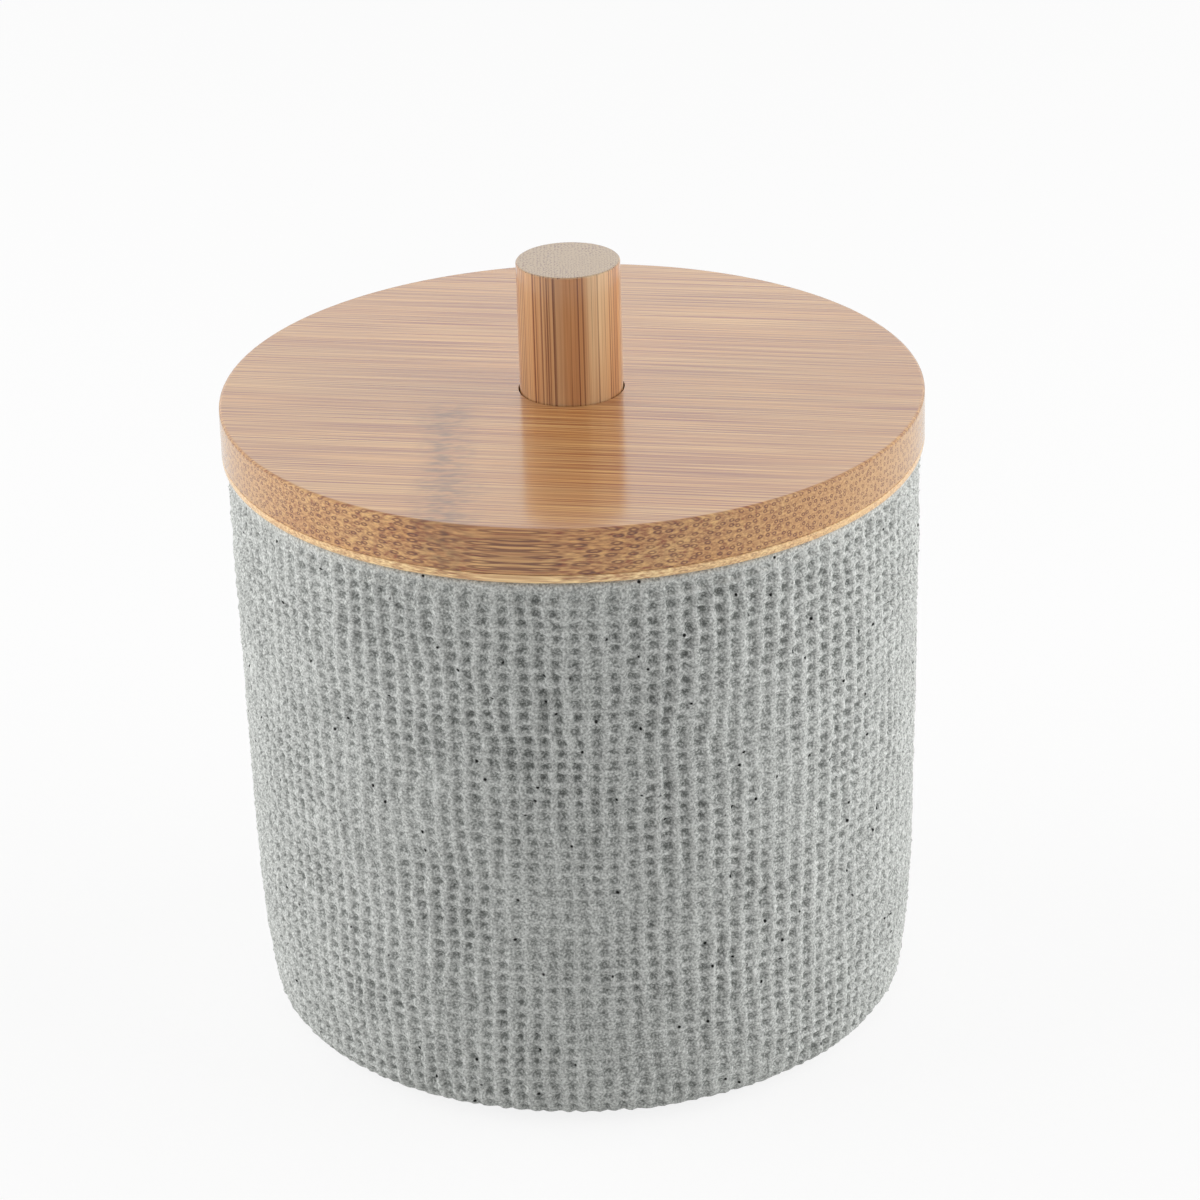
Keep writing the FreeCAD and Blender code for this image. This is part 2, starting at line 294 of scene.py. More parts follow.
@dataclass(frozen=True)
class CastStone:
    """Grey cast stone, cement with fine sand: matt, gritty, with pinholes where air bubbles broke open.

    Attributes:
        crest: Colour on a thread.
        shaded_pit: Colour in a hole between the threads, darker than a thread partly by the stone's own tone
            and partly as painted shade.
        pale_grit_and_highlight: Colour of the quartz grains. They sit on the raised grit, so this colour is
            partly a painted highlight.
        dark_grit_and_shade: Colour of the dark grains. They sit in the sunken grit, so this colour is partly
            painted shade.
        hole: Colour in a pinhole, painted shade for the shadow inside it.
        grit: Size of a sand grain.
        grit_share: How strongly the grains' colours show, with the painted highlight and shade that they
            carry.
        grit_height: How far the grains stand out.
        clump: Size of a clump of cement.
        clump_share: How strongly the clumps break up the threads' colour.
        clump_height: How far the clumps stand out.
        thread_height: How far the threads stand out beyond what the mesh has.
        thread_sides: Where a thread's crown ends and where its side does, in threads from its middle.
        weft_crown: Height of a weft on the scale where a warp is 1.
        fray: How far the clumps push the threads' edges, in threads.
        edge_level: Height of the cloth at which pit turns to crest.
        edge_softness: How far above and below that height the turn reaches.
        patch: Size of a paler or darker patch.
        patch_tones: Brightness of the darkest and the palest patch.
        bubble_spacing: Space from one air bubble to the next.
        bubble: Radius of a bubble.
        bubble_dark: Share of that radius that is fully dark with the painted shade.
    """

    crest: str = "#BEC0BD"
    shaded_pit: str = "#858885"
    pale_grit_and_highlight: str = "#F6F8F5"
    dark_grit_and_shade: str = "#444745"
    hole: str = "#232423"
    grit: float = 0.34 * MM
    grit_share: float = 0.5
    grit_height: float = 0.05 * MM
    clump: float = 1.1 * MM
    clump_share: float = 0.3
    clump_height: float = 0.1 * MM
    thread_height: float = 0.15 * MM
    thread_sides: tuple[float, float] = (0.12, 0.38)
    weft_crown: float = 0.85
    fray: float = 0.3
    edge_level: float = 0.45
    edge_softness: float = 0.35
    patch: float = 7 * MM
    patch_tones: tuple[float, float] = (0.92, 1.06)
    bubble_spacing: float = 3.4 * MM
    bubble: float = 0.3 * MM
    bubble_dark: float = 0.6

    def material(self) -> bpy.types.Material:
        """Makes the material, which follows the weave that the jar's mesh carries.

        Returns:
            The material.
        """
        material, tree = start_material("cast_stone")
        place = add_node(tree, "ShaderNodeTexCoord").outputs["Object"]
        # Clumps of cement break up the edges of the threads.
        clumps = add_node(
            tree, "ShaderNodeTexNoise",
            {"Vector": place, "Scale": 1 / self.clump, "Detail": 3.0, "Roughness": 0.6},
        ).outputs
        level = self.draw_threads(tree, clumps["Color"])
        lumpy = add_node(
            tree, "ShaderNodeMath", {0: clumps["Fac"], 1: self.clump_share, 2: level},
            operation="MULTIPLY_ADD",
        ).outputs["Value"]
        # On the whole the clumps raise the cloth by half their share.
        middle = self.edge_level + 0.5 * self.clump_share
        low, high = middle - self.edge_softness, middle + self.edge_softness
        raised = add_node(
            tree, "ShaderNodeMapRange", {"Value": lumpy, "From Min": low, "From Max": high}
        ).outputs["Result"]
        # Low cloth gets the darker colour, partly the stone's own tone in the holes and partly painted shade
        # for the shadow there. High cloth gets the paler one.
        ground = add_node(
            tree, "ShaderNodeMix",
            {FACTOR: raised, COLOUR_A: linear(self.shaded_pit), COLOUR_B: linear(self.crest)}, data_type="RGBA",
        ).outputs[MIXED]

        # Cement settles in patches, a little paler here and darker there.
        patches = add_node(
            tree, "ShaderNodeTexNoise", {"Vector": place, "Scale": 1 / self.patch, "Detail": 3.0}
        ).outputs["Fac"]
        patch_tone = add_node(
            tree, "ShaderNodeMapRange",
            {"Value": patches, "From Min": NOISE_LOW, "From Max": NOISE_HIGH,
             "To Min": self.patch_tones[0], "To Max": self.patch_tones[1]},
        ).outputs["Result"]
        toned = add_node(
            tree, "ShaderNodeVectorMath", {0: ground, "Scale": patch_tone}, operation="SCALE"
        ).outputs["Vector"]

        # Sand grains, pale quartz and dark stone. The noise that sinks the grit also darkens it, and the
        # noise that raises it pales it, so the grains are partly painted shade and painted highlight.
        grit = add_node(
            tree, "ShaderNodeTexNoise",
            {"Vector": place, "Scale": 1 / self.grit, "Detail": 1.0, "Roughness": 0.6},
        ).outputs["Fac"]
        grained = toned
        for tone, extreme in ((self.pale_grit_and_highlight, NOISE_HIGH), (self.dark_grit_and_shade, NOISE_LOW)):
            share = add_node(
                tree, "ShaderNodeMapRange",
                {"Value": grit, "From Min": 0.5, "From Max": extreme, "To Max": self.grit_share},
            ).outputs["Result"]
            grained = add_node(
                tree, "ShaderNodeMix",
                {FACTOR: share, COLOUR_A: grained, COLOUR_B: linear(tone)}, data_type="RGBA",
            ).outputs[MIXED]

        # Pinholes: the surface cuts through small balls that are scattered in the stone. Their dark colour
        # is painted shade, the shadow inside each hole.
        bubbles = add_node(
            tree, "ShaderNodeTexVoronoi", {"Vector": place, "Scale": 1 / self.bubble_spacing}
        ).outputs["Distance"]
        reach = self.bubble / self.bubble_spacing
        hole = add_node(
            tree, "ShaderNodeMapRange",
            {"Value": bubbles, "From Min": reach, "From Max": self.bubble_dark * reach},
        ).outputs["Result"]
        colour = add_node(
            tree, "ShaderNodeMix",
            {FACTOR: hole, COLOUR_A: grained, COLOUR_B: linear(self.hole)}, data_type="RGBA",
        ).outputs[MIXED]

        # The heights are added up in millimetres.
        height = 0.0
        for part, size in (
            (level, self.thread_height), (clumps["Fac"], self.clump_height), (grit, self.grit_height),
            (hole, -self.bubble),
        ):
            height = add_node(
                tree, "ShaderNodeMath", {0: part, 1: size / MM, 2: height}, operation="MULTIPLY_ADD"
            ).outputs["Value"]
        rough = add_node(tree, "ShaderNodeBump", {"Height": height, "Distance": MM}).outputs["Normal"]
        shader = add_node(
            tree, "ShaderNodeBsdfPrincipled",
            {"Base Color": colour, "Roughness": 0.9, "IOR": 1.5, "Normal": rough,
             "Specular IOR Level": 0.25},
        )
        add_node(tree, "ShaderNodeOutputMaterial", {"Surface": shader.outputs["BSDF"]})
        return material

    def draw_threads(self, tree: bpy.types.NodeTree, clumps: Socket) -> Socket:
        """Draws the threads finer than the mesh has them.

        Args:
            tree: The material's node tree.
            clumps: The noise that frays the threads.

        Returns:
            The height of the cloth, 0 in a hole between the threads and about 1 on a thread.
        """
        relief = add_node(tree, "ShaderNodeAttribute", attribute_name=RELIEF).outputs["Fac"]
        imprint = add_node(tree, "ShaderNodeAttribute", attribute_name=IMPRINT).outputs["Fac"]
        weave = add_node(tree, "ShaderNodeUVMap", uv_map=WEAVE).outputs["UV"]
        around = add_node(
            tree, "ShaderNodeVectorMath", {0: clumps, 1: (0.5, 0.5, 0.5)}, operation="SUBTRACT"
        ).outputs["Vector"]
        frayed = add_node(
            tree, "ShaderNodeVectorMath", {0: around, 1: (self.fray, self.fray, 0), 2: weave},
            operation="MULTIPLY_ADD",
        ).outputs["Vector"]
        parts = add_node(tree, "ShaderNodeSeparateXYZ", {0: frayed}).outputs
        crown_end, side_end = self.thread_sides
        bodies = []
        for part, crown in ((parts["X"], 1.0), (parts["Y"], self.weft_crown)):
            apart = add_node(
                tree, "ShaderNodeMath", {0: part, 1: 0.5}, operation="PINGPONG"
            ).outputs["Value"]
            bodies.append(
                add_node(
                    tree, "ShaderNodeMapRange",
                    {"Value": apart, "From Min": side_end, "From Max": crown_end, "To Max": crown},
                    interpolation_type="SMOOTHSTEP",
                ).outputs["Result"]
            )
        threads = add_node(
            tree, "ShaderNodeMath", {0: bodies[0], 1: bodies[1]}, operation="MAXIMUM"
        ).outputs["Value"]
        drawn = add_node(
            tree, "ShaderNodeMapRange", {"Value": imprint, "To Min": PLAIN, "To Max": threads}
        ).outputs["Result"]
        both = add_node(tree, "ShaderNodeMath", {0: drawn, 1: relief}, operation="ADD").outputs["Value"]
        return add_node(tree, "ShaderNodeMath", {0: both, 1: 0.5}, operation="MULTIPLY").outputs["Value"]


class Grain(Enum):
    """Which way the fibres of a bamboo piece run, as the directions across, through and along them."""

    BOARD = (
        (math.sin(GRAIN_TURN), math.cos(GRAIN_TURN), 0.0),
        (0.0, 0.0, 1.0),
        (math.cos(GRAIN_TURN), -math.sin(GRAIN_TURN), 0.0),
    )
    UPRIGHT = ((1.0, 0.0, 0.0), (0.0, 1.0, 0.0), (0.0, 0.0, 1.0))


@dataclass(frozen=True)
class Knuckle:
    """The flaky scar of a bamboo joint across a board.

    Attributes:
        across: Where it lies, on X.
        near: Where it starts, on Y.
        far: Where it ends, on Y.
        near_fade: How far it takes to fade in before its start.
        far_fade: How far it takes to fade out before its end.
        half_width: Half its width.
        notch: Size of the notches in its sides.
        stray: How far the notches push its sides.
        flake: Length and width of a flake.
        flake_tones: Brightness of the darkest and the palest flake.
        tone: Colour of the scar.
        tint: How much of that colour shows.
    """

    across: float = -17.6 * MM
    near: float = -46 * MM
    far: float = -3 * MM
    near_fade: float = 8 * MM
    far_fade: float = 6 * MM
    half_width: float = 6 * MM
    notch: float = 5 * MM
    stray: float = 8 * MM
    flake: tuple[float, float] = (2.2 * MM, 0.8 * MM)
    flake_tones: tuple[float, float] = (0.62, 1.3)
    tone: str = "#8E5C30"
    tint: float = 0.6


@dataclass(frozen=True)
class GlueLine:
    """The joint in a dowel of two strips: the way the second one faces, and how close its bundles lie."""

    facing: float = -63.0
    closer: float = 1.25


@dataclass(frozen=True)
class Bamboo:
    """Lacquered bamboo: golden ground with brown fibre bundles, which show as lines along and dots across.

    Attributes:
        name: The material's name.
        grain: Which way the fibres run.
        ground: Colour of the soft wood between the bundles.
        blush: Its colour in the denser bands.
        sheath: Colour of the fibres round each bundle.
        end_tone: Colour of the soft wood where it is cut across.
        pitch: Space from bundle to bundle, across and through the board.
        bundle: Inner and outer radius of a sheath in pitches. An inner one below 0 leaves no pale core.
        bundle_edge: How far a sheath's inner edge fades, towards the core and away from it, in pitches.
        sheath_share: How much of the sheath's colour the darkest bundle shows.
        faintest: How much of that the faintest bundle shows.
        face_share: How much of that shows on the broad faces.
        hair: Length and width of a hairline.
        hair_share: How strongly the hairlines darken and lighten the wood.
        hair_on_ends: How much of that is left where the wood is cut across.
        hair_tint: How much of it red, green and blue take.
        band: Length and width of a denser band.
        band_full: Noise of the bands from which the bundles are darkest.
        bend: Length and width of a stretch in which the fibres keep one line.
        drift: How far they drift from one stretch to the next.
        knuckle: The scar of a joint, where there is one.
        glue_line: The joint of two strips, where there is one.
    """

    name: str
    grain: Grain
    ground: str
    blush: str
    sheath: str
    end_tone: str
    pitch: tuple[float, float]
    bundle: tuple[float, float] = (0.12, 0.32)
    bundle_edge: tuple[float, float] = (0.03, 0.04)
    sheath_share: float = 0.95
    faintest: float = 0.7
    face_share: float = 1.0
    hair: tuple[float, float] = (26 * MM, 0.28 * MM)
    hair_share: float = 0.6
    hair_on_ends: float = 0.2
    hair_tint: tuple[float, float, float] = (0.65, 1.0, 1.15)
    band: tuple[float, float] = (70 * MM, 4 * MM)
    band_full: float = 0.6
    bend: tuple[float, float] = (40 * MM, 9 * MM)
    drift: float = 0.4 * MM
    knuckle: Knuckle | None = None
    glue_line: GlueLine | None = None

    def material(self) -> bpy.types.Material:
        """Makes the material, a solid pattern that any cut surface of the piece shows.

        Returns:
            The material.
        """
        material, tree = start_material(self.name)
        place = add_node(tree, "ShaderNodeTexCoord").outputs["Object"]
        facing = add_node(tree, "ShaderNodeNewGeometry").outputs["Normal"]
        fibres = self.lay_fibres(tree, place)
        # The culm's wall is denser and redder in bands some millimetres wide.
        length, width = self.band
        band_place = add_node(
            tree, "ShaderNodeVectorMath", {0: fibres, 1: (1 / width, 1 / width, 1 / length)},
            operation="MULTIPLY",
        ).outputs["Vector"]
        bands = add_node(
            tree, "ShaderNodeTexNoise", {"Vector": band_place, "Scale": 1.0, "Detail": 1.0}
        ).outputs["Fac"]
        sheath = self.draw_bundles(tree, place, fibres, facing, bands)

        # Cut ends are greyer than the long sides.
        ends = add_node(
            tree, "ShaderNodeVectorMath", {0: facing, 1: self.grain.value[2]}, operation="DOT_PRODUCT"
        ).outputs["Value"]
        ends = add_node(tree, "ShaderNodeMath", {0: ends, 1: ends}, operation="MULTIPLY").outputs["Value"]
        redder = add_node(
            tree, "ShaderNodeMapRange", {"Value": bands, "From Min": COARSE_LOW, "From Max": COARSE_HIGH}
        ).outputs["Result"]
        ground = add_node(
            tree, "ShaderNodeMix",
            {FACTOR: redder, COLOUR_A: linear(self.ground), COLOUR_B: linear(self.blush)}, data_type="RGBA",
        ).outputs[MIXED]
        ground = add_node(
            tree, "ShaderNodeMix",
            {FACTOR: ends, COLOUR_A: ground, COLOUR_B: linear(self.end_tone)}, data_type="RGBA",
        ).outputs[MIXED]
        with_sheath = add_node(
            tree, "ShaderNodeMix",
            {FACTOR: sheath, COLOUR_A: ground, COLOUR_B: linear(self.sheath)}, data_type="RGBA",
        ).outputs[MIXED]

        # Single fibres, as hairlines along the grain. Real ones are finer than the render can show.
        length, width = self.hair
        hair_place = add_node(
            tree, "ShaderNodeVectorMath", {0: fibres, 1: (1 / width, 1 / width, 1 / length)},
            operation="MULTIPLY",
        ).outputs["Vector"]
        hairs = add_node(
            tree, "ShaderNodeTexNoise", {"Vector": hair_place, "Scale": 1.0, "Detail": 2.0}
        ).outputs["Fac"]
        seen = add_node(
            tree, "ShaderNodeMapRange",
            {"Value": ends, "To Min": self.hair_share, "To Max": self.hair_on_ends * self.hair_share},
        ).outputs["Result"]
        lift = add_node(
            tree, "ShaderNodeMapRange",
            {"Value": hairs, "From Min": NOISE_LOW, "From Max": NOISE_HIGH, "To Min": -1.0, "To Max": 1.0},
        ).outputs["Result"]
        deep = add_node(tree, "ShaderNodeMath", {0: lift, 1: seen}, operation="MULTIPLY").outputs["Value"]
        # A darker fibre is also a browner one.
        tone = add_node(
            tree, "ShaderNodeVectorMath", {0: deep, 1: self.hair_tint, 2: (1.0, 1.0, 1.0)},
            operation="MULTIPLY_ADD",
        ).outputs["Vector"]
        colour = add_node(
            tree, "ShaderNodeVectorMath", {0: with_sheath, 1: tone}, operation="MULTIPLY"
        ).outputs["Vector"]
        if self.knuckle:
            colour = self.draw_knuckle(tree, place, colour)

        height = add_node(
            tree, "ShaderNodeMath", {0: sheath, 1: -1.0, 2: hairs}, operation="MULTIPLY_ADD"
        ).outputs["Value"]
        raised = add_node(
            tree, "ShaderNodeBump", {"Height": height, "Strength": 0.3, "Distance": 0.02 * MM}
        ).outputs["Normal"]
        shader = add_node(
            tree, "ShaderNodeBsdfPrincipled",
            {"Base Color": colour, "Roughness": 0.55, "IOR": 1.5, "Normal": raised,
             "Specular IOR Level": 0.5, "Coat Weight": 1.0, "Coat Roughness": 0.14, "Coat IOR": 1.6},
        )
        add_node(tree, "ShaderNodeOutputMaterial", {"Surface": shader.outputs["BSDF"]})
        return material

    def lay_fibres(self, tree: bpy.types.NodeTree, place: Socket) -> Socket:
        """Turns places in the piece into places in the culm, with Z along the fibres.

        Args:
            tree: The material's node tree.
            place: Object coordinates.

        Returns:
            The place in the culm.
        """
        parts = [
            add_node(
                tree, "ShaderNodeVectorMath", {0: place, 1: axis}, operation="DOT_PRODUCT"
            ).outputs["Value"]
            for axis in self.grain.value
        ]
        laid = add_node(tree, "ShaderNodeCombineXYZ", dict(enumerate(parts))).outputs["Vector"]
        # Fibres run straight for a while and then drift by a fraction of a millimetre.
        length, width = self.bend
        drift_place = add_node(
            tree, "ShaderNodeVectorMath", {0: laid, 1: (1 / width, 1 / width, 1 / length)},
            operation="MULTIPLY",
        ).outputs["Vector"]
        drift = add_node(
            tree, "ShaderNodeTexNoise", {"Vector": drift_place, "Scale": 1.0, "Detail": 2.0}
        ).outputs["Color"]
        return add_node(
            tree, "ShaderNodeVectorMath", {0: drift, 1: (self.drift, self.drift, 0), 2: laid},
            operation="MULTIPLY_ADD",
        ).outputs["Vector"]

    def draw_bundles(
        self, tree: bpy.types.NodeTree, place: Socket, fibres: Socket, facing: Socket, bands: Socket
    ) -> Socket:
        """Draws the bundles as cells of the culm's cross-section, each a dark sheath round a pale core.

        Args:
            tree: The material's node tree.
            place: Object coordinates.
            fibres: The place in the culm.
            facing: The surface's normal.
            bands: The noise of the denser bands.

        Returns:
            How much of the sheath's colour shows.
        """
        section = add_node(
            tree, "ShaderNodeVectorMath", {0: fibres, 1: (1 / self.pitch[0], 1 / self.pitch[1], 0)},
            operation="MULTIPLY",
        ).outputs["Vector"]
        if self.glue_line:
            turn = math.radians(self.glue_line.facing)
            side = add_node(
                tree, "ShaderNodeVectorMath", {0: place, 1: (math.cos(turn), math.sin(turn), 0)},
                operation="DOT_PRODUCT",
            ).outputs["Value"]
            second = add_node(tree, "ShaderNodeMath", {0: side, 1: 0.0}, operation="GREATER_THAN")
            closer = add_node(
                tree, "ShaderNodeMapRange",
                {"Value": second.outputs["Value"], "To Min": 1.0, "To Max": self.glue_line.closer},
            ).outputs["Result"]
            section = add_node(
                tree, "ShaderNodeVectorMath", {0: section, "Scale": closer}, operation="SCALE"
            ).outputs["Vector"]
        cell = add_node(
            tree, "ShaderNodeTexVoronoi", {"Vector": section, "Scale": 1.0, "Randomness": 0.65},
            voronoi_dimensions="2D",
        ).outputs
        inner, outer = self.bundle
        inwards, outwards = self.bundle_edge
        dot = add_node(
            tree, "ShaderNodeMapRange",
            {"Value": cell["Distance"], "From Min": outer, "From Max": outer - inwards - outwards},
        ).outputs["Result"]
        hollow = add_node(
            tree, "ShaderNodeMapRange",
            {"Value": cell["Distance"], "From Min": inner - inwards, "From Max": inner + outwards},
        ).outputs["Result"]
        ring = add_node(tree, "ShaderNodeMath", {0: dot, 1: hollow}, operation="MULTIPLY").outputs["Value"]

        # Bundles are darker here and fainter there, from one to the next and from band to band.
        chance = add_node(tree, "ShaderNodeSeparateColor", {0: cell["Color"]}).outputs["Red"]
        own = add_node(
            tree, "ShaderNodeMapRange",
            {"Value": chance, "To Min": self.faintest * self.sheath_share, "To Max": self.sheath_share},
        ).outputs["Result"]
        density = add_node(
            tree, "ShaderNodeMapRange",
            {"Value": bands, "From Min": COARSE_LOW, "From Max": self.band_full, "To Min": self.faintest},
        ).outputs["Result"]
        # On the broad faces the bundles are planed flat and sanded, and show less.
        broad = add_node(
            tree, "ShaderNodeVectorMath", {0: facing, 1: self.grain.value[1]}, operation="DOT_PRODUCT"
        ).outputs["Value"]
        broad = add_node(tree, "ShaderNodeMath", {0: broad, 1: broad}, operation="MULTIPLY").outputs["Value"]
        shown = add_node(
            tree, "ShaderNodeMapRange", {"Value": broad, "To Min": 1.0, "To Max": self.face_share}
        ).outputs["Result"]
        share = ring
        for part in (own, density, shown):
            share = add_node(
                tree, "ShaderNodeMath", {0: share, 1: part}, operation="MULTIPLY"
            ).outputs["Value"]
        return share

    def draw_knuckle(self, tree: bpy.types.NodeTree, place: Socket, colour: Socket) -> Socket:
        """Draws the scar of a bamboo joint across the board.

        Args:
            tree: The material's node tree.
            place: Object coordinates.
            colour: The colour of the board without the scar.

        Returns:
            The colour with the scar.
        """
        mark = self.knuckle
        ragged = add_node(
            tree, "ShaderNodeTexNoise", {"Vector": place, "Scale": 1 / mark.notch, "Detail": 3.0}
        ).outputs["Fac"]
        parts = add_node(tree, "ShaderNodeSeparateXYZ", {0: place}).outputs
        across = add_node(
            tree, "ShaderNodeMath", {0: ragged, 1: mark.stray, 2: parts["X"]}, operation="MULTIPLY_ADD"
        ).outputs["Value"]
        apart = add_node(
            tree, "ShaderNodeMath", {0: across, 1: mark.across + mark.stray / 2}, operation="SUBTRACT"
        ).outputs["Value"]
        apart = add_node(tree, "ShaderNodeMath", {0: apart}, operation="ABSOLUTE").outputs["Value"]
        band = add_node(
            tree, "ShaderNodeMapRange", {"Value": apart, "From Min": mark.half_width, "From Max": 0.0},
            interpolation_type="SMOOTHSTEP",
        ).outputs["Result"]
        near = add_node(
            tree, "ShaderNodeMapRange",
            {"Value": parts["Y"], "From Min": mark.near - mark.near_fade, "From Max": mark.near},
        ).outputs["Result"]
        far = add_node(
            tree, "ShaderNodeMapRange",
            {"Value": parts["Y"], "From Min": mark.far, "From Max": mark.far - mark.far_fade},
        ).outputs["Result"]
        for end in (near, far):
            band = add_node(tree, "ShaderNodeMath", {0: band, 1: end}, operation="MULTIPLY").outputs["Value"]

        length, width = mark.flake
        flake_place = add_node(
            tree, "ShaderNodeVectorMath", {0: place, 1: (1 / length, 1 / width, 1 / width)},
            operation="MULTIPLY",
        ).outputs["Vector"]
        flakes = add_node(
            tree, "ShaderNodeTexNoise", {"Vector": flake_place, "Scale": 1.0, "Detail": 1.0}
        ).outputs["Fac"]
        flake_tone = add_node(
            tree, "ShaderNodeMapRange",
            {"Value": flakes, "From Min": COARSE_LOW, "From Max": COARSE_HIGH,
             "To Min": mark.flake_tones[0], "To Max": mark.flake_tones[1]},
        ).outputs["Result"]
        tinted = add_node(
            tree, "ShaderNodeMix",
            {FACTOR: mark.tint, COLOUR_A: colour, COLOUR_B: linear(mark.tone)}, data_type="RGBA",
        ).outputs[MIXED]
        flaky = add_node(
            tree, "ShaderNodeVectorMath", {0: tinted, "Scale": flake_tone}, operation="SCALE"
        ).outputs["Vector"]
        return add_node(
            tree, "ShaderNodeMix", {FACTOR: band, COLOUR_A: colour, COLOUR_B: flaky}, data_type="RGBA"
        ).outputs[MIXED]


@dataclass(frozen=True)
class Silicone:
    """Moulded translucent silicone: milky, soft-looking, with a faint bloom of dust."""

    tone: str = "#DCDCD8"
    dust: str = "#C9C8C2"
    speck: float = 1.5 * MM

    def material(self) -> bpy.types.Material:
        """Makes the material.

        Returns:
            The material.
        """
        material, tree = start_material("silicone")
        place = add_node(tree, "ShaderNodeTexCoord").outputs["Object"]
        bloom = add_node(
            tree, "ShaderNodeTexNoise", {"Vector": place, "Scale": 1 / self.speck, "Detail": 4.0}
        ).outputs["Fac"]
        colour = add_node(
            tree, "ShaderNodeMix",
            {FACTOR: bloom, COLOUR_A: linear(self.tone), COLOUR_B: linear(self.dust)}, data_type="RGBA",
        ).outputs[MIXED]
        rough = add_node(
            tree, "ShaderNodeMapRange", {"Value": bloom, "To Min": 0.35, "To Max": 0.6}
        ).outputs["Result"]
        shader = add_node(
            tree, "ShaderNodeBsdfPrincipled",
            {"Base Color": colour, "Roughness": rough, "IOR": 1.41, "Subsurface Weight": 0.3,
             "Subsurface Scale": 1.5 * MM},
        )
        add_node(tree, "ShaderNodeOutputMaterial", {"Surface": shader.outputs["BSDF"]})
        return material


@dataclass(frozen=True)
class FoamRubber:
    """Closed-cell foam rubber: dull black, with fine open cells in its skin, whose dimples are painted
    darker as shade.
    """

    tone: str = "#2C2C2D"
    cell_shade: str = "#161617"
    cell: float = 0.5 * MM

    def material(self) -> bpy.types.Material:
        """Makes the material.

        Returns:
            The material.
        """
        material, tree = start_material("foam_rubber")
        place = add_node(tree, "ShaderNodeTexCoord").outputs["Object"]
        cells = add_node(
            tree, "ShaderNodeTexVoronoi", {"Vector": place, "Scale": 1 / self.cell}
        ).outputs["Distance"]
        # The dimples of the open cells get a darker colour, which is painted shade.
        colour = add_node(
            tree, "ShaderNodeMix",
            {FACTOR: cells, COLOUR_A: linear(self.cell_shade), COLOUR_B: linear(self.tone)},
            data_type="RGBA",
        ).outputs[MIXED]
        dimpled = add_node(
            tree, "ShaderNodeBump", {"Height": cells, "Strength": 0.5, "Distance": 0.1 * MM}
        ).outputs["Normal"]
        shader = add_node(
            tree, "ShaderNodeBsdfPrincipled",
            {"Base Color": colour, "Roughness": 0.95, "IOR": 1.5, "Specular IOR Level": 0.2,
             "Normal": dimpled},
        )
        add_node(tree, "ShaderNodeOutputMaterial", {"Surface": shader.outputs["BSDF"]})
        return material


@dataclass(frozen=True)
class ZincPlatedSteel:
    """Bright zinc plate on a rolled screw: silvery, faintly clouded, with a soft shine."""

    bright: str = "#D3D5D8"
    cloud: str = "#B4B6BA"
    patch: float = 1.2 * MM

    def material(self) -> bpy.types.Material:
        """Makes the material.

        Returns:
            The material.
        """
        material, tree = start_material("zinc_plated_steel")
        place = add_node(tree, "ShaderNodeTexCoord").outputs["Object"]
        clouds = add_node(
            tree, "ShaderNodeTexNoise", {"Vector": place, "Scale": 1 / self.patch, "Detail": 3.0}
        ).outputs["Fac"]
        colour = add_node(
            tree, "ShaderNodeMix",
            {FACTOR: clouds, COLOUR_A: linear(self.bright), COLOUR_B: linear(self.cloud)},
            data_type="RGBA",
        ).outputs[MIXED]
        rough = add_node(
            tree, "ShaderNodeMapRange", {"Value": clouds, "To Min": 0.22, "To Max": 0.42}
        ).outputs["Result"]
        shader = add_node(
            tree, "ShaderNodeBsdfPrincipled", {"Base Color": colour, "Metallic": 1.0, "Roughness": rough}
        )
        add_node(tree, "ShaderNodeOutputMaterial", {"Surface": shader.outputs["BSDF"]})
        return material


@dataclass
class Weave:
    """One piece of cloth on a grid of rows and columns.

    Height is 0 in a hole between the threads and highest on a crossing. Warp and weft count the threads up
    to each spot, sideways and up. Clearness is how sharply the cast took the cloth. The drifts, in threads,
    are how far the cloth is pulled out of line.
    """

    height: np.ndarray
    warp: np.ndarray
    weft: np.ndarray
    clearness: np.ndarray
    drift_up: np.ndarray
    drift_along: np.ndarray


@dataclass(frozen=True)
class Threads:
    """The warps or the wefts of the cloth, on the scale where the space from one to the next is 1.

    Attributes:
        waver: How far a thread wavers from its line.
        half: Half a thread's width.
        level: Height of its middle.
        uneven: How far that height changes from place to place.
        lift: How far it rises over the threads that it crosses, and dips under them.
    """

    waver: float
    half: float
    level: float
    uneven: float
    lift: float


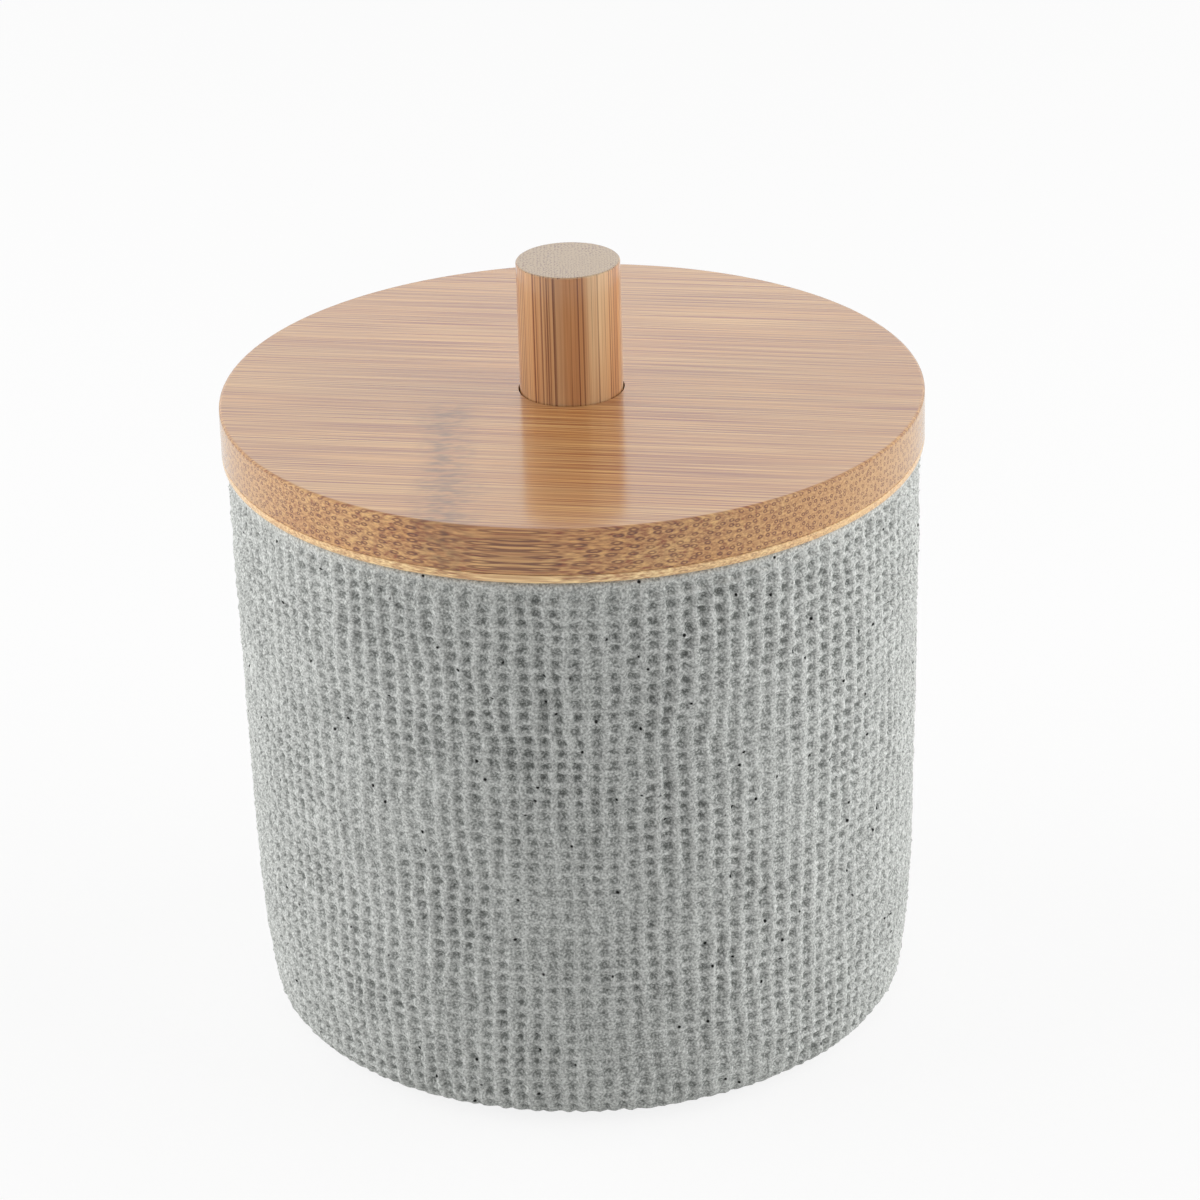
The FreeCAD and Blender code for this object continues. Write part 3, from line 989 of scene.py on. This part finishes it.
@dataclass
class SackCloth:
    """The plain weave of coarse sack cloth that the mould left on the jar.

    Attributes:
        warp_count: Threads that run up, all round the jar.
        weft_count: Threads that run around, from the heel to the rim.
        steps: Rows or columns of vertices for each thread.
        depth: How deep the relief is.
        crown: Height at which the mould pressed the threads flat.
        middle: Height that the wall has without the relief.
        warp: What the warps are like.
        weft: What the wefts are like.
        swelling: How much thicker or thinner a thread gets from place to place.
        filling: How much stone is in a hole, how that changes from hole to hole, and from patch to patch.
        fullest: How full a hole can get.
        clear: How clearly the cast took the cloth, and how that changes from patch to patch.
        roughness: How rough the stone is.
        wander: How far the cloth is pulled out of line, in threads.
        seed: Start of the random numbers.
    """

    warp_count: int = 126
    weft_count: int = 43
    steps: int = 4
    depth: float = 1.3 * MM
    crown: float = 0.8
    middle: float = 0.5
    warp: Threads = Threads(waver=0.13, half=0.36, level=0.76, uneven=0.2, lift=0.24)
    weft: Threads = Threads(waver=0.16, half=0.33, level=0.58, uneven=0.32, lift=0.34)
    swelling: float = 0.3
    filling: tuple[float, float, float] = (0.14, 0.36, 0.2)
    fullest: float = 0.75
    clear: tuple[float, float] = (0.85, 0.3)
    roughness: float = 0.05
    wander: float = 0.16
    seed: int = 11

    @property
    def rows(self) -> int:
        """Rows of vertices up the wall."""
        return self.weft_count * self.steps + 1

    @property
    def columns(self) -> int:
        """Columns of vertices around the wall."""
        return self.warp_count * self.steps

    def weave(self) -> Weave:
        """Weaves the cloth on a grid of vertices.

        Returns:
            The cloth.
        """
        rng = np.random.default_rng(self.seed)
        step = self.steps

        def vary(tall: float, wide: float) -> np.ndarray:
            """Draws a random field whose patches are so many threads tall and wide."""
            return soft_field(rng, (self.rows, self.columns), (tall * step, wide * step))

        up = np.arange(self.rows)[:, None] / step
        up = up + self.weft.waver * vary(1.6, 1.3)
        along = np.arange(self.columns)[None, :] / step
        along = along + self.warp.waver * vary(1.3, 1.6)
        warp, weft = np.rint(along), np.rint(up)

        warp_half = self.warp.half * (1 + self.swelling * vary(3, 1))
        weft_half = self.weft.half * (1 + self.swelling * vary(1, 3))
        warp_body = np.clip(1 - ((along - warp) / warp_half) ** 2, 0, 1)
        weft_body = np.clip(1 - ((up - weft) / weft_half) ** 2, 0, 1)
        warp_lift = np.cos(math.pi * (up - warp))
        weft_lift = -np.cos(math.pi * (along - weft))
        warp_level = self.warp.level + self.warp.uneven * vary(4, 1)
        weft_level = self.weft.level + self.weft.uneven * vary(1, 2.5)
        over = warp_body * (warp_level + self.warp.lift * warp_lift)
        under = weft_body * (weft_level + self.weft.lift * weft_lift)
        # The higher thread shows, and the step from one to the other is soft.
        sharp = 4
        height = (np.clip(over, 0, None) ** sharp + np.clip(under, 0, None) ** sharp) ** (1 / sharp)
        # The mould pressed the threads flat, so that their tops are nearly even.
        height /= (1 + (height / self.crown) ** sharp) ** (1 / sharp)

        # The cast filled some holes and lost the weave in places.
        usual, by_hole, by_patch = self.filling
        fill = usual + by_hole * vary(1, 1)
        fill += by_patch * vary(4, 3)
        height = np.maximum(height, np.clip(fill, 0, self.fullest))
        clearness = self.clear[0] + self.clear[1] * vary(6, 5)
        height = self.middle + (height - self.middle) * clearness
        height += self.roughness * rng.standard_normal(height.shape)

        drift_up = self.wander * vary(2, 5)
        drift_up += 2 * self.wander * vary(12, 14)
        drift_along = self.wander * vary(5, 2)
        drift_along += 2 * self.wander * vary(14, 12)
        return Weave(height, along, up, clearness, drift_up, drift_along)


@dataclass
class Jar:
    """The cast jar. Its outside wall carries the relief of the cloth, and the rest of it is plain.

    Attributes:
        rim_radius: Outside radius at the rim.
        base: Height of the underside, which stands on the feet.
        rim: Height of the rim.
        wall: Thickness of the wall.
        floor: Height of the floor inside.
        draft: How far the wall leans outwards, in degrees.
        heel_lean: How far it leans where it meets the heel, in degrees.
        lower_curve: Radius of the curve between the two.
        heel: Radius of the heel.
        rim_rounding: Radius of the rim's edges.
        floor_fillet: Radius between the floor and the wall.
        heel_fade: Rows of vertices over which the relief dies away at the heel.
        rim_fade: Rows of vertices over which it dies away under the rim.
        cloth: The cloth of the mould.
        finish: What the jar is made of.
    """

    rim_radius: float = 50.2 * MM
    base: float = 1.2 * MM
    rim: float = 87.4 * MM
    wall: float = 5.5 * MM
    floor: float = 7.2 * MM
    draft: float = 0.9
    heel_lean: float = 8.5
    lower_curve: float = 160 * MM
    heel: float = 3 * MM
    rim_rounding: float = 0.8 * MM
    floor_fillet: float = 4 * MM
    heel_fade: int = 8
    rim_fade: int = 3
    cloth: SackCloth = field(default_factory=SackCloth)
    finish: CastStone = field(default_factory=CastStone)

    def side(self) -> tuple[np.ndarray, np.ndarray, np.ndarray]:
        """Follows the outside wall from the underside to the rim in rows of even spacing.

        Returns:
            Radius, height and lean of each row. A lean of 90 degrees faces down and 0 faces outwards.
        """
        lean, tilt = math.radians(self.draft), math.radians(self.heel_lean)
        top = self.rim - self.rim_rounding
        heel_top = self.base + self.heel * (1 - math.sin(tilt))
        curve_top = heel_top + self.lower_curve * (math.sin(tilt) - math.sin(lean))
        curve_radius = self.rim_radius - math.tan(lean) * (self.rim - curve_top)
        curve_centre = (
            curve_radius - self.lower_curve * math.cos(lean), curve_top + self.lower_curve * math.sin(lean),
        )
        heel_centre = (
            curve_centre[0] + (self.lower_curve - self.heel) * math.cos(tilt), self.base + self.heel,
        )
        heel_length = self.heel * (math.pi / 2 - tilt)
        curve_length = self.lower_curve * (tilt - lean)
        straight = (top - curve_top) / math.cos(lean)
        total = heel_length + curve_length + straight
        spots = np.linspace(0, total, self.cloth.rows)
        on_heel = math.pi / 2 - spots / self.heel
        on_curve = tilt - (spots - heel_length) / self.lower_curve
        leans = np.where(spots < heel_length, on_heel, np.maximum(on_curve, lean))
        beyond = np.maximum(spots - heel_length - curve_length, 0)
        radius = np.where(
            spots < heel_length,
            heel_centre[0] + self.heel * np.cos(leans),
            curve_centre[0] + self.lower_curve * np.cos(leans) + beyond * math.sin(lean),
        )
        height = np.where(
            spots < heel_length,
            heel_centre[1] - self.heel * np.sin(leans),
            curve_centre[1] - self.lower_curve * np.sin(leans) + beyond * math.cos(lean),
        )
        return radius, height, leans

    def outline(self) -> list[tuple[float, float]]:
        """Draws half the jar's section, from the underside round the rim to the floor.

        Returns:
            Radius and height of each point, from the middle of the underside to the middle of the floor.
        """
        radius, height, _ = self.side()
        slope = math.tan(math.radians(self.draft))
        mouth = self.rim_radius - self.wall
        edge, top = self.rim_rounding, self.rim - self.rim_rounding
        fillet_top = self.floor + self.floor_fillet
        inside_foot = mouth - slope * (self.rim - fillet_top)
        # Points between the corners keep the faces of the underside, the inside and the floor short.
        points = [(0.0, self.base), (0.5 * radius[0], self.base), (0.94 * radius[0], self.base)]
        points += list(zip(radius.tolist(), height.tolist()))
        points += turn_arc((self.rim_radius - edge, top), edge, 0, 90, 3)[1:]
        points += turn_arc((mouth + edge, top), edge, 90, 180, 3)
        inside = np.linspace(top, fillet_top, 5)[1:-1].tolist()
        points += [(mouth - slope * (self.rim - z), z) for z in inside]
        points += turn_arc((inside_foot - self.floor_fillet, fillet_top), self.floor_fillet, 0, -90, 5)
        points += [(0.5 * inside_foot, self.floor), (0.0, self.floor)]
        return points

    def press_cloth(self, piece: bpy.types.Object) -> None:
        """Moves the outside wall's vertices by the relief of the cloth, and keeps the relief beside them.

        Args:
            piece: The plain jar.
        """
        radius, height, leans = self.side()
        mesh = piece.data
        places = np.empty(len(mesh.vertices) * 3, np.float32)
        mesh.vertices.foreach_get("co", places)
        places = places.reshape(-1, 3).astype(float)
        reach = np.hypot(places[:, 0], places[:, 1])
        row = np.rint(np.interp(places[:, 2], height, np.arange(len(height)))).astype(int)
        slack = 0.05 * MM
        outside = (np.abs(reach - radius[row]) < slack) & (np.abs(places[:, 2] - height[row]) < slack)
        angle = np.arctan2(places[:, 1], places[:, 0])
        column = np.rint(angle / math.tau * self.cloth.columns).astype(int) % self.cloth.columns
        # How far along the outline each vertex lies, as a share of its length
        outline = np.array(self.outline(), np.float32)
        apart = np.abs(reach.astype(np.float32)[:, None] - outline[:, 0])
        apart += np.abs(places[:, 2].astype(np.float32)[:, None] - outline[:, 1])
        run = np.append(0, np.cumsum(np.hypot(*np.diff(outline, axis=0).T)))
        path = (run / run[-1])[apart.argmin(axis=1)]

        weave = self.cloth.weave()
        # The relief dies away at the heel and right under the rim.
        from_heel = np.arange(len(height))
        fade = np.minimum(from_heel / self.heel_fade, from_heel[::-1] / self.rim_fade)
        fade = np.clip(fade, 0, 1)[:, None]
        raised = (weave.height - self.cloth.middle) * self.cloth.depth * fade
        climb = weave.drift_up * fade * (height[-1] - height[0]) / self.cloth.weft_count
        slide = weave.drift_along * fade * math.tau / self.cloth.warp_count
        at = (row[outside], column[outside])
        lean = leans[row[outside]]
        new_reach = reach[outside] + raised[at] * np.cos(lean) + climb[at] * np.sin(lean)
        new_angle = angle[outside] + slide[at]
        places[outside, 0] = new_reach * np.cos(new_angle)
        places[outside, 1] = new_reach * np.sin(new_angle)
        places[outside, 2] += climb[at] * np.cos(lean) - raised[at] * np.sin(lean)
        mesh.vertices.foreach_set("co", places.astype(np.float32).ravel())

        relief = np.full(len(places), PLAIN, np.float32)
        relief[outside] = PLAIN + (weave.height[at] - PLAIN) * fade[row[outside], 0]
        imprint = np.zeros(len(places), np.float32)
        imprint[outside] = np.clip(weave.clearness * fade, 0, 1)[at]
        for name, values in ((RELIEF, relief), (IMPRINT, imprint)):
            mesh.attributes.new(name, "FLOAT", "POINT").data.foreach_set("value", values)

        threads = np.column_stack((weave.warp[row, column], weave.weft[row, column]))
        self.lay_maps(mesh, column, threads, path, reach < slack)
        mesh.update()

    def lay_maps(
        self, mesh: bpy.types.Mesh, column: np.ndarray, threads: np.ndarray, path: np.ndarray,
        on_axis: np.ndarray,
    ) -> None:
        """Lays the map of the threads, and the sheet for baking the jar's patterns.

        Args:
            mesh: The jar's mesh.
            column: Column of each vertex.
            threads: Warps and wefts up to each vertex.
            path: How far along the outline each vertex lies, from 0 to 1.
            on_axis: Whether each vertex lies on the axis.
        """
        corners = np.empty(len(mesh.loops), np.int32)
        mesh.loops.foreach_get("vertex_index", corners)
        starts = np.empty(len(mesh.polygons), np.int32)
        mesh.polygons.foreach_get("loop_start", starts)
        counts = np.diff(np.append(starts, len(corners)))
        # Both maps run on past the last column, where the grid closes on its first.
        last = np.repeat(np.maximum.reduceat(column[corners], starts), counts)
        closing = last - column[corners] > self.cloth.columns / 2
        around = (column[corners] + closing * self.cloth.columns).astype(float)
        # At the axis each face has a corner of its own, midway between its other two.
        fan = starts[counts == 3][:, None] + np.arange(3)
        middle = on_axis[corners[fan]]
        spots = around[fan]
        spots[middle] = (spots * ~middle).sum(axis=1) / 2
        around[fan] = spots
        counted = threads[corners] + closing[:, None] * np.array((self.cloth.warp_count, 0))
        sheet = np.column_stack((around / self.cloth.columns, path[corners]))
        for name, values in ((WEAVE, counted), (MAP_NAME, sheet)):
            mesh.uv_layers.new(name=name).uv.foreach_set("vector", values.astype(np.float32).ravel())

    def build(self) -> bpy.types.Object:
        """Builds and dresses the jar.

        Returns:
            The jar.
        """
        piece = spin_outline("cast_jar", self.outline(), self.cloth.columns)
        self.press_cloth(piece)
        piece.data.shade_smooth()
        dress(piece, self.finish.material())
        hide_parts("jar_body")
        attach(piece, "jar")
        return piece


@dataclass
class Lid:
    """The lid: two bamboo boards glued on each other, and a dowel as the knob.

    Attributes:
        radius: Radius of both boards.
        rim: Height of the jar's rim, which the lower board lies on.
        joint: Height of the joint between the boards.
        top: Height of the upper board's top.
        top_edge: Radius of the upper board's top edge.
        joint_edge: Radius of the edges at the joint.
        base_edge: Radius of the lower board's edge.
        plug_face: Height of the plug's underside.
        plug_radius: Radius of the plug.
        plug_land: Height of the plug above and below the ring's groove.
        plug_chamfer: Size of the chamfer round the plug's underside.
        groove_radius: Radius of the groove's floor.
        socket_radius: Radius of the knob's socket.
        socket_floor: Height of the socket's floor.
        screw_hole: Radius of the screw's hole.
        countersink: Radius of the hole at the plug's underside.
        knob_radius: Radius of the knob.
        knob_top: Height of the knob's top.
        knob_edge: Radius of the knob's edges.
        columns: Faces around a board.
        smooth_under: Largest angle between two faces that are shaded as one, in degrees.
        top_finish: What the upper board is made of.
        base_finish: What the lower board is made of.
        knob_finish: What the knob is made of.
    """

    radius: float = 50.99 * MM
    rim: float = 87.4 * MM
    joint: float = 88.8 * MM
    top: float = 95.6 * MM
    top_edge: float = 0.5 * MM
    joint_edge: float = 0.18 * MM
    base_edge: float = 0.7 * MM
    plug_face: float = 82 * MM
    plug_radius: float = 42.9 * MM
    plug_land: float = 0.8 * MM
    plug_chamfer: float = 0.5 * MM
    groove_radius: float = 41.3 * MM
    socket_radius: float = 7.7 * MM
    socket_floor: float = 92.6 * MM
    screw_hole: float = 2.25 * MM
    countersink: float = 4.35 * MM
    knob_radius: float = 7.5 * MM
    knob_top: float = 115.1 * MM
    knob_edge: float = 0.25 * MM
    columns: int = 256
    smooth_under: float = 32.0
    top_finish: Bamboo = field(
        default_factory=lambda: Bamboo(
            "lacquered_bamboo_board", Grain.BOARD, "#C38F57", "#BC8249", "#6E360E", "#BA8E58",
            (0.85 * MM, 0.95 * MM), faintest=0.85, face_share=0.25, hair=(40 * MM, 0.32 * MM),
            hair_share=0.85, drift=0.2 * MM, knuckle=Knuckle(),
        )
    )
    base_finish: Bamboo = field(
        default_factory=lambda: Bamboo(
            "lacquered_bamboo_veneer", Grain.BOARD, "#EEC890", "#E6BA82", "#8A5228", "#DAB27C",
            (1.1 * MM, 0.8 * MM), sheath_share=0.45, face_share=0.3,
        )
    )
    knob_finish: Bamboo = field(
        default_factory=lambda: Bamboo(
            "lacquered_bamboo_dowel", Grain.UPRIGHT, "#D6B084", "#C48A56", "#642608", "#B3966E",
            (0.5 * MM, 0.5 * MM), bundle=(-0.1, 0.33), sheath_share=1.0, faintest=0.5, drift=0.2 * MM,
            hair=(30 * MM, 0.2 * MM), hair_share=0.25, glue_line=GlueLine(),
        )
    )

    def build_top_board(self) -> bpy.types.Object:
        """Builds the upper board, with the knob's socket sunk in its top.

        Returns:
            The board.
        """
        deselect_all()
        bpy.ops.mesh.primitive_cylinder_add(
            vertices=self.columns, radius=self.radius, depth=self.top - self.joint,
            location=(0, 0, (self.top + self.joint) / 2),
        )
        piece = bpy.context.object
        piece.name = piece.data.name = "lid_top_board"
        bpy.ops.object.transform_apply()
        with edit_mode(piece):
            pick_faces(piece, lambda face: face.normal.z > LEVEL)
            bpy.ops.mesh.inset(thickness=self.radius - self.socket_radius)
            bpy.ops.mesh.extrude_region_move(
                TRANSFORM_OT_translate={"value": (0, 0, self.socket_floor - self.top)}
            )
            bpy.ops.mesh.inset(thickness=self.socket_radius - self.screw_hole)
            pick_faces(piece, lambda face: face.normal.z < -LEVEL)
            bpy.ops.mesh.inset(thickness=self.radius - self.screw_hole)
            pick_faces(
                piece, lambda face: abs(face.normal.z) > LEVEL and len(face.verts) == self.columns
            )
            bpy.ops.mesh.bridge_edge_loops()
            pick_edges(piece, ring_at(self.radius, self.top))
            bpy.ops.mesh.bevel(offset=self.top_edge, segments=4, affect="EDGES")
            pick_edges(piece, ring_at(self.radius, self.joint))
            bpy.ops.mesh.bevel(offset=self.joint_edge, segments=2, affect="EDGES")
        return piece

    def build_base_board(self) -> bpy.types.Object:
        """Builds the lower board, a thin rim with the grooved plug under it.

        Returns:
            The board.
        """
        sink_top = self.plug_face + self.countersink - self.screw_hole
        groove_top = self.rim - self.plug_land
        groove_low = self.plug_face + self.plug_land
        edge, joint_edge = self.base_edge, self.joint_edge
        outline = [
            (self.screw_hole, self.joint),
            (self.screw_hole, sink_top),
            (self.countersink, self.plug_face),
            (self.plug_radius - self.plug_chamfer, self.plug_face),
            (self.plug_radius, self.plug_face + self.plug_chamfer),
            (self.plug_radius, groove_low),
            (self.groove_radius, groove_low),
            (self.groove_radius, groove_top),
            (self.plug_radius, groove_top),
            (self.plug_radius, self.rim),
        ]
        outline += turn_arc((self.radius - edge, self.rim + edge), edge, -90, 0, 4)
        outline += turn_arc((self.radius - joint_edge, self.joint - joint_edge), joint_edge, 0, 90, 2)
        outline += [outline[0]]
        return spin_outline("lid_base_board", outline, self.columns)

    def build_knob(self) -> bpy.types.Object:
        """Builds the knob, a length of dowel with eased ends.

        Returns:
            The knob.
        """
        deselect_all()
        bpy.ops.mesh.primitive_cylinder_add(
            vertices=self.columns // 2, radius=self.knob_radius, depth=self.knob_top - self.socket_floor,
            location=(0, 0, (self.knob_top + self.socket_floor) / 2),
        )
        piece = bpy.context.object
        piece.name = piece.data.name = "dowel_knob"
        bpy.ops.object.transform_apply()
        with edit_mode(piece):
            for end in (self.knob_top, self.socket_floor):
                pick_edges(piece, ring_at(self.knob_radius, end))
                bpy.ops.mesh.bevel(offset=self.knob_edge, segments=3, affect="EDGES")
        return piece

    def build(self) -> list[bpy.types.Object]:
        """Builds and dresses the three pieces of the lid.

        Returns:
            The upper board, the lower board and the knob.
        """
        pieces = []
        for make, finish, node in (
            (self.build_top_board, self.top_finish, "lid_top_ply"),
            (self.build_base_board, self.base_finish, "lid_base_ply"),
            (self.build_knob, self.knob_finish, "knob"),
        ):
            piece = make()
            deselect_all()
            piece.select_set(True)
            bpy.context.view_layer.objects.active = piece
            bpy.ops.object.shade_smooth_by_angle(angle=math.radians(self.smooth_under))
            # The flat faces stay flat up to their rounded edges, so that they mirror the knob truly.
            piece.modifiers.new("flat_faces", "WEIGHTED_NORMAL").keep_sharp = True
            bpy.ops.object.modifier_apply(modifier="flat_faces")
            dress(piece, finish.material())
            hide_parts(node)
            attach(piece, "lid")
            pieces.append(piece)
        return pieces


@dataclass
class Fittings:
    """The ring, the screw and the feet, which keep their CAD shapes."""

    feet: tuple[str, ...] = ("foot_front_left", "foot_front_right", "foot_rear_left", "foot_rear_right")

    def build(self) -> list[bpy.types.Object]:
        """Dresses the fittings.

        Returns:
            The ring, the screw and the feet.
        """
        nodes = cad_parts
        dress(nodes["seal_ring"], Silicone().material())
        dress(nodes["knob_screw"], ZincPlatedSteel().material())
        foam = FoamRubber().material()
        for name in self.feet:
            dress(nodes[name], foam)
        return [nodes[name] for name in ("seal_ring", "knob_screw", *self.feet)]


@dataclass(frozen=True)
class Softbox:
    """A flat lamp that faces the jar.

    Attributes:
        name: The lamp's name.
        azimuth: Its angle from the front of the jar towards the right, in degrees.
        elevation: Its angle above the ground, in degrees.
        distance: How far it is from the jar.
        width: Width of its face.
        height: Height of its face.
        brightness: Brightness of its face, where 1 is white.
        mirrored: Whether gloss mirrors it.
    """

    name: str
    azimuth: float
    elevation: float
    distance: float
    width: float
    height: float
    brightness: float
    mirrored: bool = False


@dataclass
class Studio:
    """A pale floor in a white room, soft lamps behind and beside the jar, and the camera.

    Attributes:
        aim: What the lamps face.
        floor_width: Width of the floor.
        floor_tone: Colour of the floor's duller patches.
        floor_patch: Size of such a patch.
        floor_lift: How much nearer to white the camera sees the floor.
        room_light: Light of the room behind the jar, where 1 is white.
        front_light: Light of the room behind the camera.
        front_from: Y of the direction towards the front from which the room is dimmest.
        camera_place: Where the camera stands.
        camera_down: How far it looks down, in degrees.
        camera_roll: How far it is turned about its own line of sight, in degrees.
        lens: Focal length, in millimetres.
        sensor: Width of the picture in the camera, in millimetres.
        lamps: The lamps.
    """

    aim: tuple[float, float, float] = (0.0, 0.0, 0.06)
    floor_width: float = 8.0
    floor_tone: str = "#F6F6F5"
    floor_patch: float = 1 / 3
    floor_lift: float = 0.85
    room_light: float = 0.42
    front_light: float = 0.32
    front_from: float = -0.9
    camera_place: tuple[float, float, float] = (0.003223, -0.58199, 0.33091)
    camera_down: float = 24.844
    camera_roll: float = -1.635
    lens: float = 130.02
    sensor: float = 36.0
    lamps: tuple[Softbox, ...] = (
        Softbox("left_softbox", -92, 16, 0.8, 0.9, 0.6, 3.4),
        Softbox("right_softbox", 90, 16, 0.8, 0.9, 0.6, 3.5),
        Softbox("back_panel", 180, 26, 1.0, 1.2, 0.6, 0.38, mirrored=True),
    )

    def lay_floor(self) -> None:
        """Lays the floor, which looks white to the camera and still takes the jar's shadow."""
        deselect_all()
        bpy.ops.mesh.primitive_plane_add(size=self.floor_width)
        floor = bpy.context.object
        floor.name = "floor"
        material, tree = start_material("white_painted_board")
        place = add_node(tree, "ShaderNodeTexCoord").outputs["Object"]
        shade = add_node(
            tree, "ShaderNodeTexNoise", {"Vector": place, "Scale": 1 / self.floor_patch}
        ).outputs["Fac"]
        tint = add_node(
            tree, "ShaderNodeMix",
            {FACTOR: shade, COLOUR_A: linear("#FFFFFF"), COLOUR_B: linear(self.floor_tone)},
            data_type="RGBA",
        ).outputs[MIXED]
        paint = add_node(tree, "ShaderNodeBsdfDiffuse", {"Color": tint})
        white = add_node(tree, "ShaderNodeEmission", {"Color": linear("#FFFFFF"), "Strength": 1.0})
        rays = add_node(tree, "ShaderNodeLightPath").outputs
        lift = add_node(
            tree, "ShaderNodeMath", {0: rays["Is Camera Ray"], 1: self.floor_lift}, operation="MULTIPLY"
        ).outputs["Value"]
        mixed = add_node(
            tree, "ShaderNodeMixShader",
            {0: lift, 1: paint.outputs["BSDF"], 2: white.outputs["Emission"]},
        )
        add_node(tree, "ShaderNodeOutputMaterial", {"Surface": mixed.outputs["Shader"]})
        dress(floor, material)

    def light_room(self) -> None:
        """Sets the room's even light, which the camera, gloss and clear pieces see as white."""
        world = bpy.data.worlds.new("white_room")
        bpy.context.scene.world = world
        world.use_nodes = True
        tree = world.node_tree
        tree.nodes.clear()
        rays = add_node(tree, "ShaderNodeLightPath").outputs
        seen = add_node(
            tree, "ShaderNodeMath", {0: rays["Is Camera Ray"], 1: rays["Is Glossy Ray"]}, operation="MAXIMUM"
        ).outputs["Value"]
        seen = add_node(
            tree, "ShaderNodeMath", {0: seen, 1: rays["Is Transmission Ray"]}, operation="MAXIMUM"
        ).outputs["Value"]
        # The room is dim behind the camera, so light reaches the front of the jar from its sides.
        way = add_node(tree, "ShaderNodeTexCoord").outputs["Generated"]
        back = add_node(tree, "ShaderNodeSeparateXYZ", {0: way}).outputs["Y"]
        light = add_node(
            tree, "ShaderNodeMapRange",
            {"Value": back, "From Min": self.front_from, "From Max": 0.0, "To Min": self.front_light,
             "To Max": self.room_light},
        ).outputs["Result"]
        glow = add_node(tree, "ShaderNodeBackground", {"Color": linear("#FFFFFF"), "Strength": light})
        white = add_node(tree, "ShaderNodeBackground", {"Color": linear("#FFFFFF"), "Strength": 1.0})
        mixed = add_node(
            tree, "ShaderNodeMixShader",
            {0: seen, 1: glow.outputs["Background"], 2: white.outputs["Background"]},
        )
        add_node(tree, "ShaderNodeOutputWorld", {"Surface": mixed.outputs["Shader"]})

    def hang_lamp(self, box: Softbox) -> None:
        """Hangs one lamp, with its power worked out from the brightness of its face.

        Args:
            box: The lamp's place, size and brightness, where 1 is white.
        """
        lamp = bpy.data.lights.new(box.name, "AREA")
        lamp.shape = "RECTANGLE"
        lamp.size = box.width
        lamp.size_y = box.height
        lamp.energy = box.brightness * math.pi * box.width * box.height
        item = bpy.data.objects.new(box.name, lamp)
        bpy.context.scene.collection.objects.link(item)
        around, above = math.radians(box.azimuth), math.radians(box.elevation)
        out = Vector(
            (math.sin(around) * math.cos(above), -math.cos(around) * math.cos(above), math.sin(above))
        )
        item.location = Vector(self.aim) + out * box.distance
        item.rotation_euler = (-out).to_track_quat("-Z", "Y").to_euler()
        item.visible_camera = False
        item.visible_glossy = box.mirrored

    def place_camera(self) -> None:
        """Places the camera at the photograph's viewing angle."""
        data = bpy.data.cameras.new("camera")
        data.sensor_width = self.sensor
        data.lens = self.lens
        camera = bpy.data.objects.new("camera", data)
        bpy.context.scene.collection.objects.link(camera)
        tilt = Euler((math.radians(90 - self.camera_down), 0, 0)).to_matrix()
        roll = Matrix.Rotation(math.radians(self.camera_roll), 3, "Z")
        camera.matrix_world = Matrix.Translation(self.camera_place) @ (tilt @ roll).to_4x4()
        bpy.context.scene.camera = camera

    def build(self) -> None:
        """Builds the whole studio."""
        bpy.context.scene.view_settings.view_transform = "Standard"
        self.lay_floor()
        self.light_room()
        for box in self.lamps:
            self.hang_lamp(box)
        self.place_camera()


def main() -> None:
    """Builds the holder and its studio, and reports each piece."""
    logging.basicConfig(level=logging.INFO, format="%(message)s")
    Studio().build()
    pieces = [Jar().build(), *Lid().build(), *Fittings().build()]
    for piece in pieces:
        log.info("%s: %d faces", piece.name, len(piece.data.polygons))


if __name__ == "__main__":
    main()
